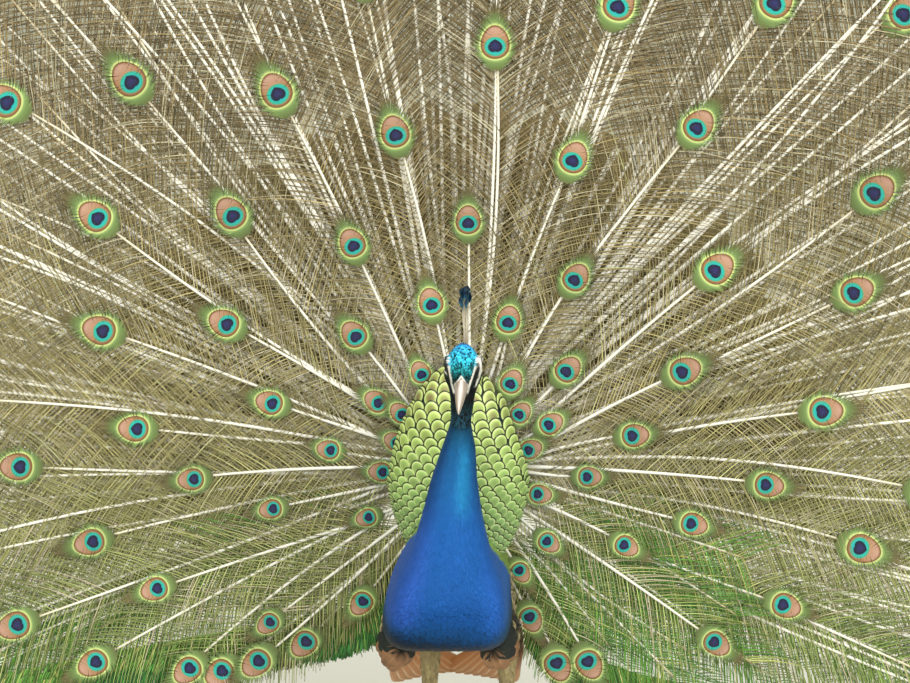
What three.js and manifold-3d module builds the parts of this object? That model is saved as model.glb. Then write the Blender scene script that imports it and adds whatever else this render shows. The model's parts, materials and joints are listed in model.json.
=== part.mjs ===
// A displaying peacock (Pavo cristatus) as a still, life-size model: the train is raised in a fan behind the
// body, the neck rises in front of the back's scale-feather shield, and the wings droop beside the legs.
// Millimetres, +Z up. The bird faces -Y, and its left side is towards +X. The origin is on the floor, under the
// middle of the whole model. It has no joints, so every piece keeps its place.
import * as THREE from "three";
import { mergeVertices } from "three/addons/utils/BufferGeometryUtils.js";
import Module from "manifold-3d";

const wasm = await Module();
wasm.setup();
const { Manifold, Mesh: SolidMesh } = wasm;

// ---- Driving dimensions ------------------------------------------------------------------------------------

const GAP = 0.3; // left between neighbouring pieces
const TURN = Math.PI / 180;

// The fan is a dish that opens forwards. Angles are seen from the front: 0 points along +X and 90 up.
const FAN = {
  x: 8,
  y: 112, // where the long feathers leave the rump
  z: 411,
  lowest: -63, // heading of the lowest feathers, below the horizontal on either side
  root: 64.5, // radius where the feathers leave the rump
  sideLength: 900,
  topLength: 1090,
  cupSide: 0.00029, // forward curve, mm per square mm of radius
  cupTop: 0.0001,
  thickness: 0.9,
};
// Below the horizontal the feathers end on a line that falls away from the body, lower on the bird's left.
const HEM = { left: 150, right: 214, slope: 0.13, lowest: 92 };
const SHORT_ROWS = { forward: 22, sideLength: 340, topLength: 490 }; // the inner rows lie before the long ones
const TAIL = { feathers: 20, length: 425, lowest: -8, behind: 18, thickness: 1.6 };
const SHIELD = { x: 12, y: 74, z: 408, width: 78, up: 132, down: 112, bulge: 56 };
const RUMP = { front: 62, back: 184, radius: 63.5 };

const LEGS = { hockX: 23, footX: 12, spread: 43, hockY: 46, hockZ: 166, footY: 34, footZ: 15 };
const EYE = { across: 14.3, y: -111, z: 578.5, radius: 6.2 };
const CREST = { x: 19, y: -99, z: 590, inner: 4, outer: 62, thickness: 2.6 };

// The body's side profile from the bill's root, over the head and down the neck, to the rump. Each station has
// a point on the back line, a point on the belly line, half the width between them, and the middle's x.
const STATIONS = [
  { back: [-128, 563], belly: [-117, 551], half: 8, x: 15.5 },
  { back: [-128.5, 576], belly: [-108, 555], half: 13.5, x: 16 },
  { back: [-124, 588], belly: [-101, 556], half: 18.5, x: 16.5 },
  { back: [-114, 596.5], belly: [-95.5, 550], half: 20.5, x: 16.5 },
  { back: [-101, 599.5], belly: [-93, 544], half: 20, x: 16.5 },
  { back: [-86, 595], belly: [-92, 538], half: 18, x: 16.5 },
  { back: [-73, 580], belly: [-92, 530], half: 15.5, x: 16 },
  { back: [-65, 557], belly: [-93, 519], half: 13.2, x: 15.5 },
  { back: [-61, 526], belly: [-98, 503], half: 12.5, x: 14.3 },
  { back: [-60, 494], belly: [-107, 476], half: 19.3, x: 11.8 },
  { back: [-58, 463], belly: [-121, 445], half: 26, x: 7.5 },
  { back: [-53, 437], belly: [-140, 408], half: 32.7, x: 5.4 },
  { back: [-40, 415], belly: [-161, 366], half: 41.2, x: 4 },
  { back: [-17, 402], belly: [-172, 326], half: 51.5, x: 2 },
  { back: [14, 396], belly: [-158, 289], half: 58, x: -1 },
  { back: [50, 392], belly: [-108, 266], half: 63, x: -1 },
  { back: [90, 388], belly: [-25, 258], half: 62, x: 5 },
  { back: [124, 380], belly: [58, 265], half: 58, x: 12 },
  { back: [150, 368], belly: [115, 286], half: 49, x: 14 },
  { back: [166, 354], belly: [149, 316], half: 30, x: 14 },
  { back: [171, 345], belly: [164, 331], half: 12, x: 14 },
];
// Where the body is divided, counted in stations.
const DIVIDE = { head: 6.4, neck: 9.6, breast: 12.2 };
const EGG = 0.22; // how far a section's widest part lies towards the belly
const BROAD = 0.62; // how square the breast's lower half is
const SAG = 0.18; // how much farther down the breast's widest part lies than the rest's
const ease = (v) => ((t) => t * t * (3 - 2 * t))(Math.min(Math.max(v, 0), 1));

// ---- Making shapes -----------------------------------------------------------------------------------------

const vec = (x, y, z) => new THREE.Vector3(x, y, z);
const rise = (a) => Math.max(0, Math.sin(a * TURN));

// The value at t between numbers p1 and p2, on a smooth curve through all four.
function through(p0, p1, p2, p3, t) {
  const bend = 2 * p0 - 5 * p1 + 4 * p2 - p3;
  return 0.5 * (2 * p1 + (p2 - p0) * t + bend * t * t + (3 * p1 - p0 - 3 * p2 + p3) * t * t * t);
}

// Reads a list of equal rows of numbers at place s, counted in rows, along smooth curves.
function along(rows, s) {
  const last = rows.length - 1;
  const k = Math.min(Math.max(Math.floor(s), 0), last - 1);
  const row = (i) => rows[Math.min(Math.max(i, 0), last)];
  return row(0).map((_, c) => through(row(k - 1)[c], row(k)[c], row(k + 1)[c], row(k + 2)[c], s - k));
}

// A geometry from points and triangles, turned outwards if it came out inside out.
function geometryOf(points, faces) {
  let volume = 0;
  for (const [a, b, c] of faces) volume += points[a].dot(vec(0, 0, 0).crossVectors(points[b], points[c]));
  const index = faces.flatMap(([a, b, c]) => (volume < 0 ? [a, c, b] : [a, b, c]));
  const geometry = new THREE.BufferGeometry().setFromPoints(points);
  geometry.setIndex(index);
  geometry.computeVertexNormals();
  return geometry;
}

// A closed body through rings of equal count: quads between neighbours and a fan over each end.
function loft(rings) {
  const count = rings[0].length;
  const points = rings.flat();
  const faces = [];
  for (let i = 0; i < rings.length - 1; i++)
    for (let j = 0; j < count; j++) {
      const [a, b] = [i * count + j, i * count + ((j + 1) % count)];
      faces.push([a, b, a + count], [b, b + count, a + count]);
    }
  for (const [start, flip] of [[0, true], [(rings.length - 1) * count, false]]) {
    const middle = points.length;
    const ring = points.slice(start, start + count);
    points.push(ring.reduce((sum, p) => sum.add(p), vec(0, 0, 0)).divideScalar(count));
    for (let j = 0; j < count; j++) {
      const [a, b] = [start + j, start + ((j + 1) % count)];
      faces.push(flip ? [b, a, middle] : [a, b, middle]);
    }
  }
  return geometryOf(points, faces);
}

// A closed sheet from two equal grids of points, its front and its back, joined round the rim.
function sheet(front, back) {
  const [rows, columns] = [front.length, front[0].length];
  const points = [...front.flat(), ...back.flat()];
  const far = rows * columns;
  const at = (i, j) => i * columns + j;
  const faces = [];
  for (let i = 0; i < rows - 1; i++)
    for (let j = 0; j < columns - 1; j++) {
      const [a, b, c, d] = [at(i, j), at(i, j + 1), at(i + 1, j + 1), at(i + 1, j)];
      faces.push([a, b, c], [a, c, d], [far + a, far + c, far + b], [far + a, far + d, far + c]);
    }
  const rim = [];
  for (let j = 0; j < columns - 1; j++) rim.push(at(0, j));
  for (let i = 0; i < rows - 1; i++) rim.push(at(i, columns - 1));
  for (let j = columns - 1; j > 0; j--) rim.push(at(rows - 1, j));
  for (let i = rows - 1; i > 0; i--) rim.push(at(i, 0));
  rim.forEach((a, k) => {
    const b = rim[(k + 1) % rim.length];
    faces.push([a, far + a, b], [b, far + a, far + b]);
  });
  return geometryOf(points, faces);
}

function solidOf(geometry) {
  const plain = geometry.clone();
  plain.deleteAttribute("normal");
  plain.deleteAttribute("uv");
  const merged = mergeVertices(plain, 1e-4);
  return new Manifold(
    new SolidMesh({
      numProp: 3,
      vertProperties: merged.attributes.position.array,
      triVerts: new Uint32Array(merged.index.array),
    }),
  );
}

// The largest body of a solid, as a geometry.
function largest(solid) {
  const body = solid.decompose().sort((a, b) => b.volume() - a.volume())[0];
  const mesh = body.getMesh();
  const geometry = new THREE.BufferGeometry();
  geometry.setAttribute("position", new THREE.BufferAttribute(mesh.vertProperties, 3));
  geometry.setIndex(new THREE.BufferAttribute(mesh.triVerts, 1));
  geometry.computeVertexNormals();
  return geometry;
}

// A geometry less its neighbours.
function fitted(geometry, ...neighbours) {
  return largest(neighbours.reduce((left, other) => left.subtract(solidOf(other)), solidOf(geometry)));
}

// ---- Materials ---------------------------------------------------------------------------------------------

const finish = (color, roughness) => new THREE.MeshStandardMaterial({ color, roughness, metalness: 0 });
const MATERIALS = {
  crown: finish(0x1497c8, 0.5),
  neck: finish(0x1447b4, 0.5),
  belly: finish(0x16242c, 0.7),
  horn: finish(0xc4a79d, 0.45),
  eye: finish(0x1b120e, 0.15),
  scales: finish(0x9cb354, 0.45),
  train: finish(0x8a8a5a, 0.6),
  tail: finish(0x6f5f50, 0.75),
  wing: finish(0xb9a487, 0.75),
  primary: finish(0xb0713f, 0.6),
  thigh: finish(0x8d8468, 0.8),
  leg: finish(0x8b8272, 0.6),
  claw: finish(0x4a4038, 0.5),
};

const bird = new THREE.Group();
function add(name, geometry, material) {
  const mesh = new THREE.Mesh(geometry, material);
  mesh.name = name;
  bird.add(mesh);
  return mesh;
}

// ---- Body --------------------------------------------------------------------------------------------------

const PROFILE = STATIONS.map((s) => [...s.back, ...s.belly, s.half, s.x]);

// The body's section at place s: an egg shape across the line from the back to the belly, grown by extra.
function section(s, sides, extra = 0) {
  const [by, bz, vy, vz, half, x] = along(PROFILE, s);
  const up = vec(0, by - vy, bz - vz);
  const middle = vec(x, (by + vy) / 2, (bz + vz) / 2);
  const height = up.length() / 2 + extra;
  up.normalize();
  const full = ease((s - 10.5) / 3) * ease((18 - s) / 2.5);
  const power = 1 - BROAD * full;
  return Array.from({ length: sides }, (_, k) => {
    const turn = (2 * Math.PI * k) / sides;
    const across = Math.cos(turn) < 0 ? Math.abs(Math.sin(turn)) ** power : Math.abs(Math.sin(turn));
    const width = (half + extra) * Math.sign(Math.sin(turn)) * across * (1 - (EGG + SAG * full) * Math.cos(turn));
    return middle.clone().addScaledVector(up, height * Math.cos(turn)).add(vec(width, 0, 0));
  });
}

// The stretch of the body between two places. Both ends are drawn in by half the gap.
function stretch(from, to, steps, sides, extra = 0) {
  const inset = 0.018; // in stations: it leaves the gap or a little more where the stretches meet
  const [a, b] = [from + (from > 0 ? inset : 0), to - inset];
  return loft(Array.from({ length: steps + 1 }, (_, k) => section(a + ((b - a) * k) / steps, sides, extra)));
}

const END = STATIONS.length - 1;
const BODY_SIDES = 18;
const trunk = stretch(DIVIDE.breast, END, 10, BODY_SIDES);
const trunkSpace = stretch(DIVIDE.breast - 0.4, END, 12, BODY_SIDES, GAP + 1.4);
const neckSpace = stretch(DIVIDE.head, DIVIDE.breast + 0.3, 10, BODY_SIDES, GAP + 0.9);

const eyeAt = (side) => vec(STATIONS[3].x + side * EYE.across, EYE.y, EYE.z);
const eyeball = (radius) => new THREE.SphereGeometry(radius, 12, 7);
const sockets = [1, -1].map((side) => {
  const at = eyeAt(side);
  return eyeball(EYE.radius + GAP).translate(at.x, at.y, at.z);
});

function buildBody() {
  add("head", fitted(stretch(0, DIVIDE.head, 8, 14), ...sockets), MATERIALS.crown);
  add("neck_upper", stretch(DIVIDE.head, DIVIDE.neck, 5, 14), MATERIALS.neck);
  add("neck_lower", stretch(DIVIDE.neck, DIVIDE.breast, 5, BODY_SIDES), MATERIALS.neck);
  add("trunk", trunk, MATERIALS.belly);
  for (const [name, side] of [["eye_left", 1], ["eye_right", -1]])
    add(name, eyeball(EYE.radius), MATERIALS.eye).position.copy(eyeAt(side));
}

// ---- Bill --------------------------------------------------------------------------------------------------

// A mandible's ring: half an oval above or below the line where the mandibles close.
function billRing([y, z, half, deep], side) {
  const slant = vec(0, -0.62, 0.785); // across the bill, towards the forehead
  const count = 8;
  return Array.from({ length: count + 1 }, (_, k) => {
    const turn = (Math.PI * k) / count;
    const lift = side * (deep * Math.sin(turn) + GAP / 2);
    const middle = 11 + (4 * (y + 159)) / 38; // the bill turns a little to the bird's right
    return vec(middle + half * Math.cos(turn), y, z).addScaledVector(slant, lift);
  });
}

function buildBill() {
  // Place on the closing line, half width and depth, from the root to the tip.
  const upper = [
    [-121, 560.5, 7.8, 7.2], [-127.6, 555.2, 6.8, 7], [-135.3, 549, 5.5, 6.2], [-143.1, 543.3, 4, 5.2],
    [-149.3, 538.4, 2.5, 3.8], [-151.8, 535.1, 1.3, 2.2], [-152.3, 533, 0.5, 0.9],
  ];
  const lower = [
    [-121, 560.5, 7.2, 5], [-127.6, 555.2, 6.2, 4.6], [-135.3, 549, 4.9, 3.8], [-143.1, 543.3, 3.1, 2.6],
    [-146.8, 540.4, 1.4, 1.4],
  ];
  const headSpace = stretch(0, DIVIDE.head, 8, 14, GAP);
  add("bill_upper", fitted(loft(upper.map((p) => billRing(p, 1))), headSpace), MATERIALS.horn);
  add("bill_lower", fitted(loft(lower.map((p) => billRing(p, -1))), headSpace), MATERIALS.horn);
}

// ---- Crest -------------------------------------------------------------------------------------------------

// The crest is a flat fan of bare shafts in the middle plane, so its solid is a thin sheet with a toothed rim.
function buildCrest() {
  const [forward, backward, teeth] = [24, 40, 9];
  const columns = teeth * 2;
  const side = (x) =>
    [CREST.inner, CREST.outer].map((radius, i) =>
      Array.from({ length: columns + 1 }, (_, j) => {
        const lean = (-forward + ((forward + backward) * j) / columns) * TURN;
        const reach = i === 1 && j % 2 === 0 ? radius - 6 : radius;
        return vec(x, CREST.y + reach * Math.sin(lean), CREST.z + reach * Math.cos(lean));
      }),
    );
  const [left, right] = [CREST.x + CREST.thickness / 2, CREST.x - CREST.thickness / 2];
  add("crest", fitted(sheet(side(left), side(right)), stretch(0, DIVIDE.head, 8, 14, GAP)), MATERIALS.neck);
}

// ---- Wings -------------------------------------------------------------------------------------------------

const wingSpaces = [];
const primarySpaces = [];

// A closed wing lies on the flank as a long pad. Its hollow follows the trunk.
function wingPad(side, extra) {
  // Place along the body, the body's middle there, height of the pad's middle, half its height, half its
  // thickness and its distance out from the body's middle.
  const rows = [
    [-88, 0, 276, 5, 4, 50], [-70, 0, 272, 18, 11, 56], [-38, 1, 268, 26, 15, 60], [0, 1, 268, 32, 16, 60],
    [42, 4, 270, 38, 15, 58], [84, 8, 276, 34, 12, 56], [112, 12, 282, 18, 6, 54], [124, 14, 286, 5, 3, 52],
  ];
  const sides = 10;
  return loft(
    rows.map(([y, middle, z, high, thick, out]) =>
      Array.from({ length: sides }, (_, k) => {
        const turn = (2 * Math.PI * k) / sides;
        const x = middle + side * (out + (thick + extra) * Math.cos(turn));
        return vec(x, y, z + (high + extra) * Math.sin(turn));
      }),
    ),
  );
}

// The drooped flight feathers: a sheet from the wing's lower edge, back, down and in under the tail.
function primarySheet(side, extra = 0) {
  const [feathers, steps] = [9, 3];
  const middle = 8;
  const surface = (u, v) => {
    const root = vec(side * (76 - 4 * v), -8 + 92 * v, 240 + 8 * v);
    const tip = vec(side * (66 - 58 * v), 152 + 74 * v, 147 - 3 * v);
    return root.lerp(tip, u).add(vec(middle, 0, 12 * Math.sin(Math.PI * u) * (1 - v)));
  };
  const grid = (thick) =>
    Array.from({ length: steps + 1 }, (_, i) =>
      Array.from({ length: feathers * 2 + 1 }, (_, j) => {
        const notch = j % 2 === 0 ? 0.06 : 0;
        const u = (i / steps) * (1 - notch * (i / steps));
        return surface(u, j / (feathers * 2)).add(vec(side * thick * 0.8, 0, -thick * 0.6));
      }),
    );
  return sheet(grid(-extra), grid(2.4 + extra));
}

function buildWings() {
  for (const [name, side] of [["left", 1], ["right", -1]]) {
    wingSpaces.push(wingPad(side, GAP + 0.6));
    primarySpaces.push(primarySheet(side, GAP * 2));
    add("wing_" + name, fitted(wingPad(side, 0), trunkSpace), MATERIALS.wing);
    const primaries = fitted(primarySheet(side), wingPad(side, GAP), trunkSpace);
    add("primaries_" + name, primaries, MATERIALS.primary);
  }
}

// ---- Legs --------------------------------------------------------------------------------------------------

// A round limb through points with their radii. Nothing goes below the floor, which gives flats to stand on.
function limb(stops, sides) {
  return loft(
    stops.map(([x, y, z, radius], i) => {
      const [from, to] = [stops[Math.max(i - 1, 0)], stops[Math.min(i + 1, stops.length - 1)]];
      const way = vec(to[0] - from[0], to[1] - from[1], to[2] - from[2]).normalize();
      const across = vec(0, 0, 0).crossVectors(way, Math.abs(way.z) > 0.7 ? vec(0, 1, 0) : vec(0, 0, 1));
      across.normalize();
      const up = vec(0, 0, 0).crossVectors(across, way).normalize();
      return Array.from({ length: sides }, (_, k) => {
        const turn = (2 * Math.PI * (k + 0.5)) / sides;
        const p = vec(x, y, z).addScaledVector(across, radius * Math.cos(turn));
        p.addScaledVector(up, radius * Math.sin(turn));
        p.z = Math.max(p.z, 0);
        return p;
      });
    }),
  );
}

// The same stops, thicker by the gap, with the first one pushed out by it too.
function grown(stops) {
  const [[x0, y0, z0], [x1, y1, z1]] = stops;
  const out = vec(x0 - x1, y0 - y1, z0 - z1).setLength(GAP);
  return stops.map(([x, y, z, radius], i) =>
    i ? [x, y, z, radius + GAP] : [x + out.x, y + out.y, z + out.z, radius + GAP],
  );
}

// A toe runs out over the floor from the foot's joint, with a swelling at each joint, and ends in its claw.
function toeStops(from, heading, length, thick, joints) {
  const ahead = vec(Math.sin(heading * TURN), -Math.cos(heading * TURN), 0);
  const steps = joints * 2;
  return Array.from({ length: steps + 1 }, (_, k) => {
    const t = k / steps;
    const radius = thick * (1 - 0.35 * t) * (k % 2 ? 1.08 : 0.92);
    const height = Math.max(from.z * (1 - 3.2 * t), radius - 1.6);
    return [from.x + ahead.x * length * t, from.y + ahead.y * length * t, height, radius];
  });
}

function clawStops(toe) {
  const [end, before] = [toe.at(-1), toe.at(-2)];
  const ahead = vec(end[0] - before[0], end[1] - before[1], 0).normalize();
  const curve = [[0.4, 0.4, 3.0], [5, 0.6, 2.4], [9.5, -0.6, 1.6], [13, -2.6, 0.7]];
  return curve.map(([out, lift, radius]) => [
    end[0] + ahead.x * out, end[1] + ahead.y * out, Math.max(end[2] + lift, radius * 0.6), radius,
  ]);
}

function buildLegs() {
  for (const [name, side] of [["left", 1], ["right", -1]]) {
    const foot = vec(LEGS.footX + side * LEGS.spread, LEGS.footY, LEGS.footZ);
    const hock = vec(LEGS.hockX + side * LEGS.spread, LEGS.hockY, LEGS.hockZ);
    const thigh = [
      [hock.x - 15 - side * 7, -8, 292, 27 - side * 3], [hock.x - 5.5 - side * 2.5, 6, 264, 20],
      [hock.x, 18, 238, 13.5], [hock.x, 30, 212, 11.5], [hock.x, 40, 188, 9.8], [hock.x, hock.y, hock.z - 4, 7.6],
    ];
    // Share of the way from the hock to the foot, step back from that line, radius.
    const shankRows = [
      [0, 0, 8.8], [0.06, 1, 9.4], [0.18, 0, 6.6], [0.5, -2, 6.2], [0.84, 0, 6.6], [0.97, 0, 8.2], [1.045, 0, 7.2],
    ];
    const shank = shankRows.map(([t, back, radius]) => {
      const at = hock.clone().lerp(foot, t);
      return [at.x, at.y + back, at.z, radius];
    });
    const shankSpace = limb(grown(shank), 12);
    const wings = [1, -1].map((w) => wingPad(w, GAP));
    add("thigh_" + name, fitted(limb(thigh, 14), trunkSpace, shankSpace, ...wings), MATERIALS.thigh);
    const spurRoot = hock.clone().lerp(foot, 0.66).add(vec(-side * 3, 4, 0));
    const spur = [[0, 0, 0, 4.4], [-4, 10, 1, 3.2], [-7, 21, 5, 0.8]].map(([inward, back, up, radius]) => [
      spurRoot.x + side * inward, spurRoot.y + back, spurRoot.z + up, radius,
    ]);
    // Name, heading away from straight ahead, length, thickness, joints.
    const toes = [
      ["middle", side * 6, 66, 6.2, 3], ["inner", -side * 34, 47, 5.6, 2], ["outer", side * 46, 52, 5.6, 3],
      ["hind", side * 192, 27, 4.6, 1],
    ];
    const placed = [];
    for (const [toe, heading, length, thick, joints] of toes) {
      const stops = toeStops(foot, heading, length, thick, joints);
      const shape = fitted(limb(stops, 7), shankSpace, ...placed);
      placed.push(limb(grown(stops), 7));
      add("toe_" + name + "_" + toe, shape, MATERIALS.leg);
      const claw = fitted(limb(clawStops(stops), 6), placed.at(-1));
      add("claw_" + name + "_" + toe, claw, MATERIALS.claw);
    }
    add("shank_" + name, limb(shank, 12), MATERIALS.leg);
    add("spur_" + name, fitted(limb(spur, 6), shankSpace), MATERIALS.claw);
  }
}

// ---- Train, tail and shield --------------------------------------------------------------------------------

const HEADINGS = 180 - 2 * FAN.lowest; // the whole sweep of the fan, in degrees

// A point of the fan at a heading and radius. Forward moves the sheet towards the head.
function fanPoint(heading, radius, forward = 0) {
  const [across, up] = [Math.cos(heading * TURN), Math.sin(heading * TURN)];
  const cup = FAN.cupSide * across * across + FAN.cupTop * up * up;
  return vec(FAN.x + radius * across, FAN.y - forward - cup * radius * radius, FAN.z + radius * up);
}

// How far the feathers at a heading reach: their own length, or to the hem where that is nearer.
function reach(heading, sideLength, topLength) {
  const own = sideLength + (topLength - sideLength) * rise(heading);
  const [across, down] = [Math.abs(Math.cos(heading * TURN)), -Math.sin(heading * TURN)];
  if (down <= 0) return own;
  const start = Math.cos(heading * TURN) > 0 ? HEM.left : HEM.right;
  const toHem = (FAN.z - start) / Math.max(down - HEM.slope * across, 1e-6);
  return Math.min(own, toHem, (FAN.z - HEM.lowest) / down);
}

// One sector of a feather sheet. Its rim rises to a rounded tip for each feather.
function sector(from, to, tips, rows, lengthAt, pointAt, thickness, perTip = 3) {
  const columns = tips * perTip;
  const grid = (deep) =>
    Array.from({ length: rows + 1 }, (_, i) =>
      Array.from({ length: columns + 1 }, (_, j) => {
        const heading = from + ((to - from) * j) / columns;
        const notch = j % perTip === 0 ? 0.05 : 0;
        const radius = FAN.root + (lengthAt(heading) * (1 - notch) - FAN.root) * (i / rows);
        const inset = j === 0 ? 1 : j === columns ? -1 : 0;
        const turned = heading + (inset * GAP * 0.5) / radius / TURN;
        return pointAt(turned, radius).add(vec(0, deep, 0));
      }),
    );
  return sheet(grid(0), grid(thickness));
}

function buildTrain(keepOut) {
  const long = { sectors: 11, tips: 3, rows: 3 };
  const short = { sectors: 7, tips: 3, rows: 2 };
  const slice = (k, count) => FAN.lowest + (HEADINGS * k) / count;
  for (let k = 0; k < long.sectors; k++) {
    const shape = sector(
      slice(k, long.sectors), slice(k + 1, long.sectors), long.tips, long.rows,
      (a) => reach(a, FAN.sideLength, FAN.topLength), (a, r) => fanPoint(a, r), FAN.thickness,
    );
    const low = k < 2 || k > long.sectors - 3;
    add("train_long_" + (k + 1), low ? fitted(shape, ...keepOut) : shape, MATERIALS.train);
  }
  for (let k = 0; k < short.sectors; k++) {
    const shape = sector(
      slice(k, short.sectors), slice(k + 1, short.sectors), short.tips, short.rows,
      (a) => reach(a, SHORT_ROWS.sideLength, SHORT_ROWS.topLength) * 0.97,
      (a, r) => fanPoint(a, r, SHORT_ROWS.forward), FAN.thickness,
    );
    const low = k < 2 || k > short.sectors - 3;
    add("train_short_" + (k + 1), low ? fitted(shape, ...keepOut) : shape, MATERIALS.train);
  }
}

// The stiff tail feathers stand behind the train and hold it up.
function buildTail() {
  const shape = sector(
    TAIL.lowest, 180 - TAIL.lowest, TAIL.feathers, 3, () => TAIL.length,
    (a, r) => fanPoint(a, r, -TAIL.behind).add(vec(0, 0.00006 * r * r, 0)), TAIL.thickness, 2,
  );
  add("tail", shape, MATERIALS.tail);
}

// The rump is the rounded mound that the train and the tail grow from.
function rumpShape(extra = 0) {
  const [front, back, radius] = [RUMP.front - extra, RUMP.back + extra, RUMP.radius + extra];
  const profile = [
    [0, front], [34, front + 4], [54, front + 14], [radius, front + 26], [radius, front + 74], [59, back - 30],
    [49, back - 16], [34, back - 6], [16, back - 1], [0, back],
  ];
  const shape = new THREE.LatheGeometry(profile.map(([r, y]) => new THREE.Vector2(r, y)), 16);
  return shape.translate(FAN.x, 0, FAN.z);
}

// The raised scale feathers of the back: an egg-shaped shield that bulges forwards behind the neck.
function shieldShape() {
  const [rings, sides] = [5, 20];
  const rows = [];
  for (let i = 0; i <= rings; i++) {
    const spread = Math.max(Math.sin((Math.PI / 2) * (i / rings)), 0.02);
    const deep = SHIELD.bulge * Math.cos((Math.PI / 2) * (i / rings));
    rows.push(
      Array.from({ length: sides }, (_, k) => {
        const turn = (2 * Math.PI * k) / sides;
        const up = Math.sin(turn);
        const tall = up > 0 ? SHIELD.up : SHIELD.down;
        const wide = SHIELD.width * (1 - 0.12 * Math.abs(up));
        const x = SHIELD.x + wide * Math.cos(turn) * spread;
        return vec(x, SHIELD.y - deep, SHIELD.z + tall * up * spread);
      }),
    );
  }
  return loft(rows);
}

function buildShield() {
  const spaces = [trunkSpace, neckSpace, ...wingSpaces, rumpShape(GAP)];
  add("back_scales", fitted(shieldShape(), ...spaces), MATERIALS.scales);
}

// ---- The whole bird ----------------------------------------------------------------------------------------

buildBody();
buildBill();
buildCrest();
buildWings();
buildLegs();
add("rump", fitted(rumpShape(), trunkSpace), MATERIALS.belly);
buildShield();
buildTrain([trunkSpace, ...wingSpaces, ...primarySpaces]);
buildTail();

// The origin goes under the middle of the whole model.
const box = new THREE.Box3().setFromObject(bird);
const middle = box.getCenter(vec(0, 0, 0));
bird.position.set(-middle.x, -middle.y, 0);

export default bird;
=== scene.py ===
"""A life-size displaying peacock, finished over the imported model's frame.

Sizes inside are millimetres in the bird's own coordinates: it faces -Y, its left is +X and the floor is
z = 0. placed() turns them into the frame's metres.
"""
import json
import math

import bmesh
import bpy
import numpy as np
from bpy.props import FloatProperty, FloatVectorProperty, IntProperty, PointerProperty
from bpy.types import NodeSocket, Operator, Panel, PropertyGroup
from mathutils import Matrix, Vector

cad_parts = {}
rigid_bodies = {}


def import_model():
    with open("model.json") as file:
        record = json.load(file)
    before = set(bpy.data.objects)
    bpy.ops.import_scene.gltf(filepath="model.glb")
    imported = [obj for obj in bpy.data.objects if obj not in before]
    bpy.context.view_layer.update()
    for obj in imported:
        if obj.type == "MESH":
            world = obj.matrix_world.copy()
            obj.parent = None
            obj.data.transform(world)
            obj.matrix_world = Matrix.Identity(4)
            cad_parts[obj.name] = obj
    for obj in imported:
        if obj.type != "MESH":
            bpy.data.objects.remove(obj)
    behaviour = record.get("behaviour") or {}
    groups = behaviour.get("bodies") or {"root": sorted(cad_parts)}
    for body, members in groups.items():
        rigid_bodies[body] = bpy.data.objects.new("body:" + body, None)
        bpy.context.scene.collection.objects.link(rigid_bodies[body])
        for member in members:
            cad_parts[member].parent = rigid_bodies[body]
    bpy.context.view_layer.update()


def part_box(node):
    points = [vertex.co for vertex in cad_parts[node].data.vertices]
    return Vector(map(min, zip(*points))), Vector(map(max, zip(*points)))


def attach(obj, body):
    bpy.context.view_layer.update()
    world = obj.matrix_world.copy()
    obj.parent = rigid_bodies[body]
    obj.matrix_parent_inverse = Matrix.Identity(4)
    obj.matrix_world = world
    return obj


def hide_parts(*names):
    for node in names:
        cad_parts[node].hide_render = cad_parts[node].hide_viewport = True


bl_info = {
    "name": "Displaying peacock",
    "version": (1, 0, 0),
    "blender": (4, 5, 0),
    "location": "View3D > Sidebar > Peacock",
    "description": "Skin, plumage, train and stage of a life-size displaying peacock",
    "category": "Object",
}

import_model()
MM = 0.001
EYE_PLACE = np.array([30.8, -111.0, 578.5])  # the left eye's middle in the bird's coordinates
SHIFT = np.mean([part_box("eye_left")[0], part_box("eye_left")[1]], axis=0) / MM - EYE_PLACE

# ---- Body: the same stations as the solids ---------------
# Back line y and z, belly line y and z, half the width, and the middle's x, from the bill's root to the rump.
STATIONS = np.array([
    [-128, 563, -117, 551, 8, 15.5], [-128.5, 576, -108, 555, 13.5, 16], [-124, 588, -101, 556, 18.5, 16.5],
    [-114, 596.5, -95.5, 550, 20.5, 16.5], [-101, 599.5, -93, 544, 20, 16.5], [-86, 595, -92, 538, 18, 16.5],
    [-73, 580, -92, 530, 15.5, 16], [-65, 557, -93, 519, 13.2, 15.5], [-61, 526, -98, 503, 12.5, 14.3],
    [-60, 494, -107, 476, 19.3, 11.8], [-58, 463, -121, 445, 26, 7.5], [-53, 437, -140, 408, 32.7, 5.4],
    [-40, 415, -161, 366, 41.2, 4], [-17, 402, -172, 326, 51.5, 2], [14, 396, -158, 289, 58, -1],
    [50, 392, -108, 266, 63, -1], [90, 388, -25, 258, 62, 5], [124, 380, 58, 265, 58, 12],
    [150, 368, 115, 286, 49, 14], [166, 354, 149, 316, 30, 14], [171, 345, 164, 331, 12, 14],
])
# How far a section's widest part lies down, how square the breast is below, and how much lower it is widest.
EGG, BROAD, SAG = 0.22, 0.62, 0.18
HEAD_X = 16.5  # the head's middle
EYE_ASIDE, EYE_RADIUS = 14.3, 6.2  # each eyeball's middle stands this far from the head's middle
COAT = ([0, 4, 7, 10, 13, 20], [1.0, 1.2, 2.0, 2.8, 3.6, 4.5])  # station, depth of the coat there

# The fan: its root, how fast its dish comes forward sideways and upwards, and its longest feathers' reach.
FAN_X, FAN_Y, FAN_Z = 8.0, 112.0, 411.0
CUP_SIDE, CUP_TOP = 0.00029, 0.0001
SIDE_LENGTH, TOP_LENGTH = 900.0, 1090.0
# The hem: its height beside the body on the bird's left and right, its fall outwards, and its lowest height.
HEM_LEFT, HEM_RIGHT, HEM_SLOPE, HEM_LOWEST = 150.0, 214.0, 0.13, 92.0
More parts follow.
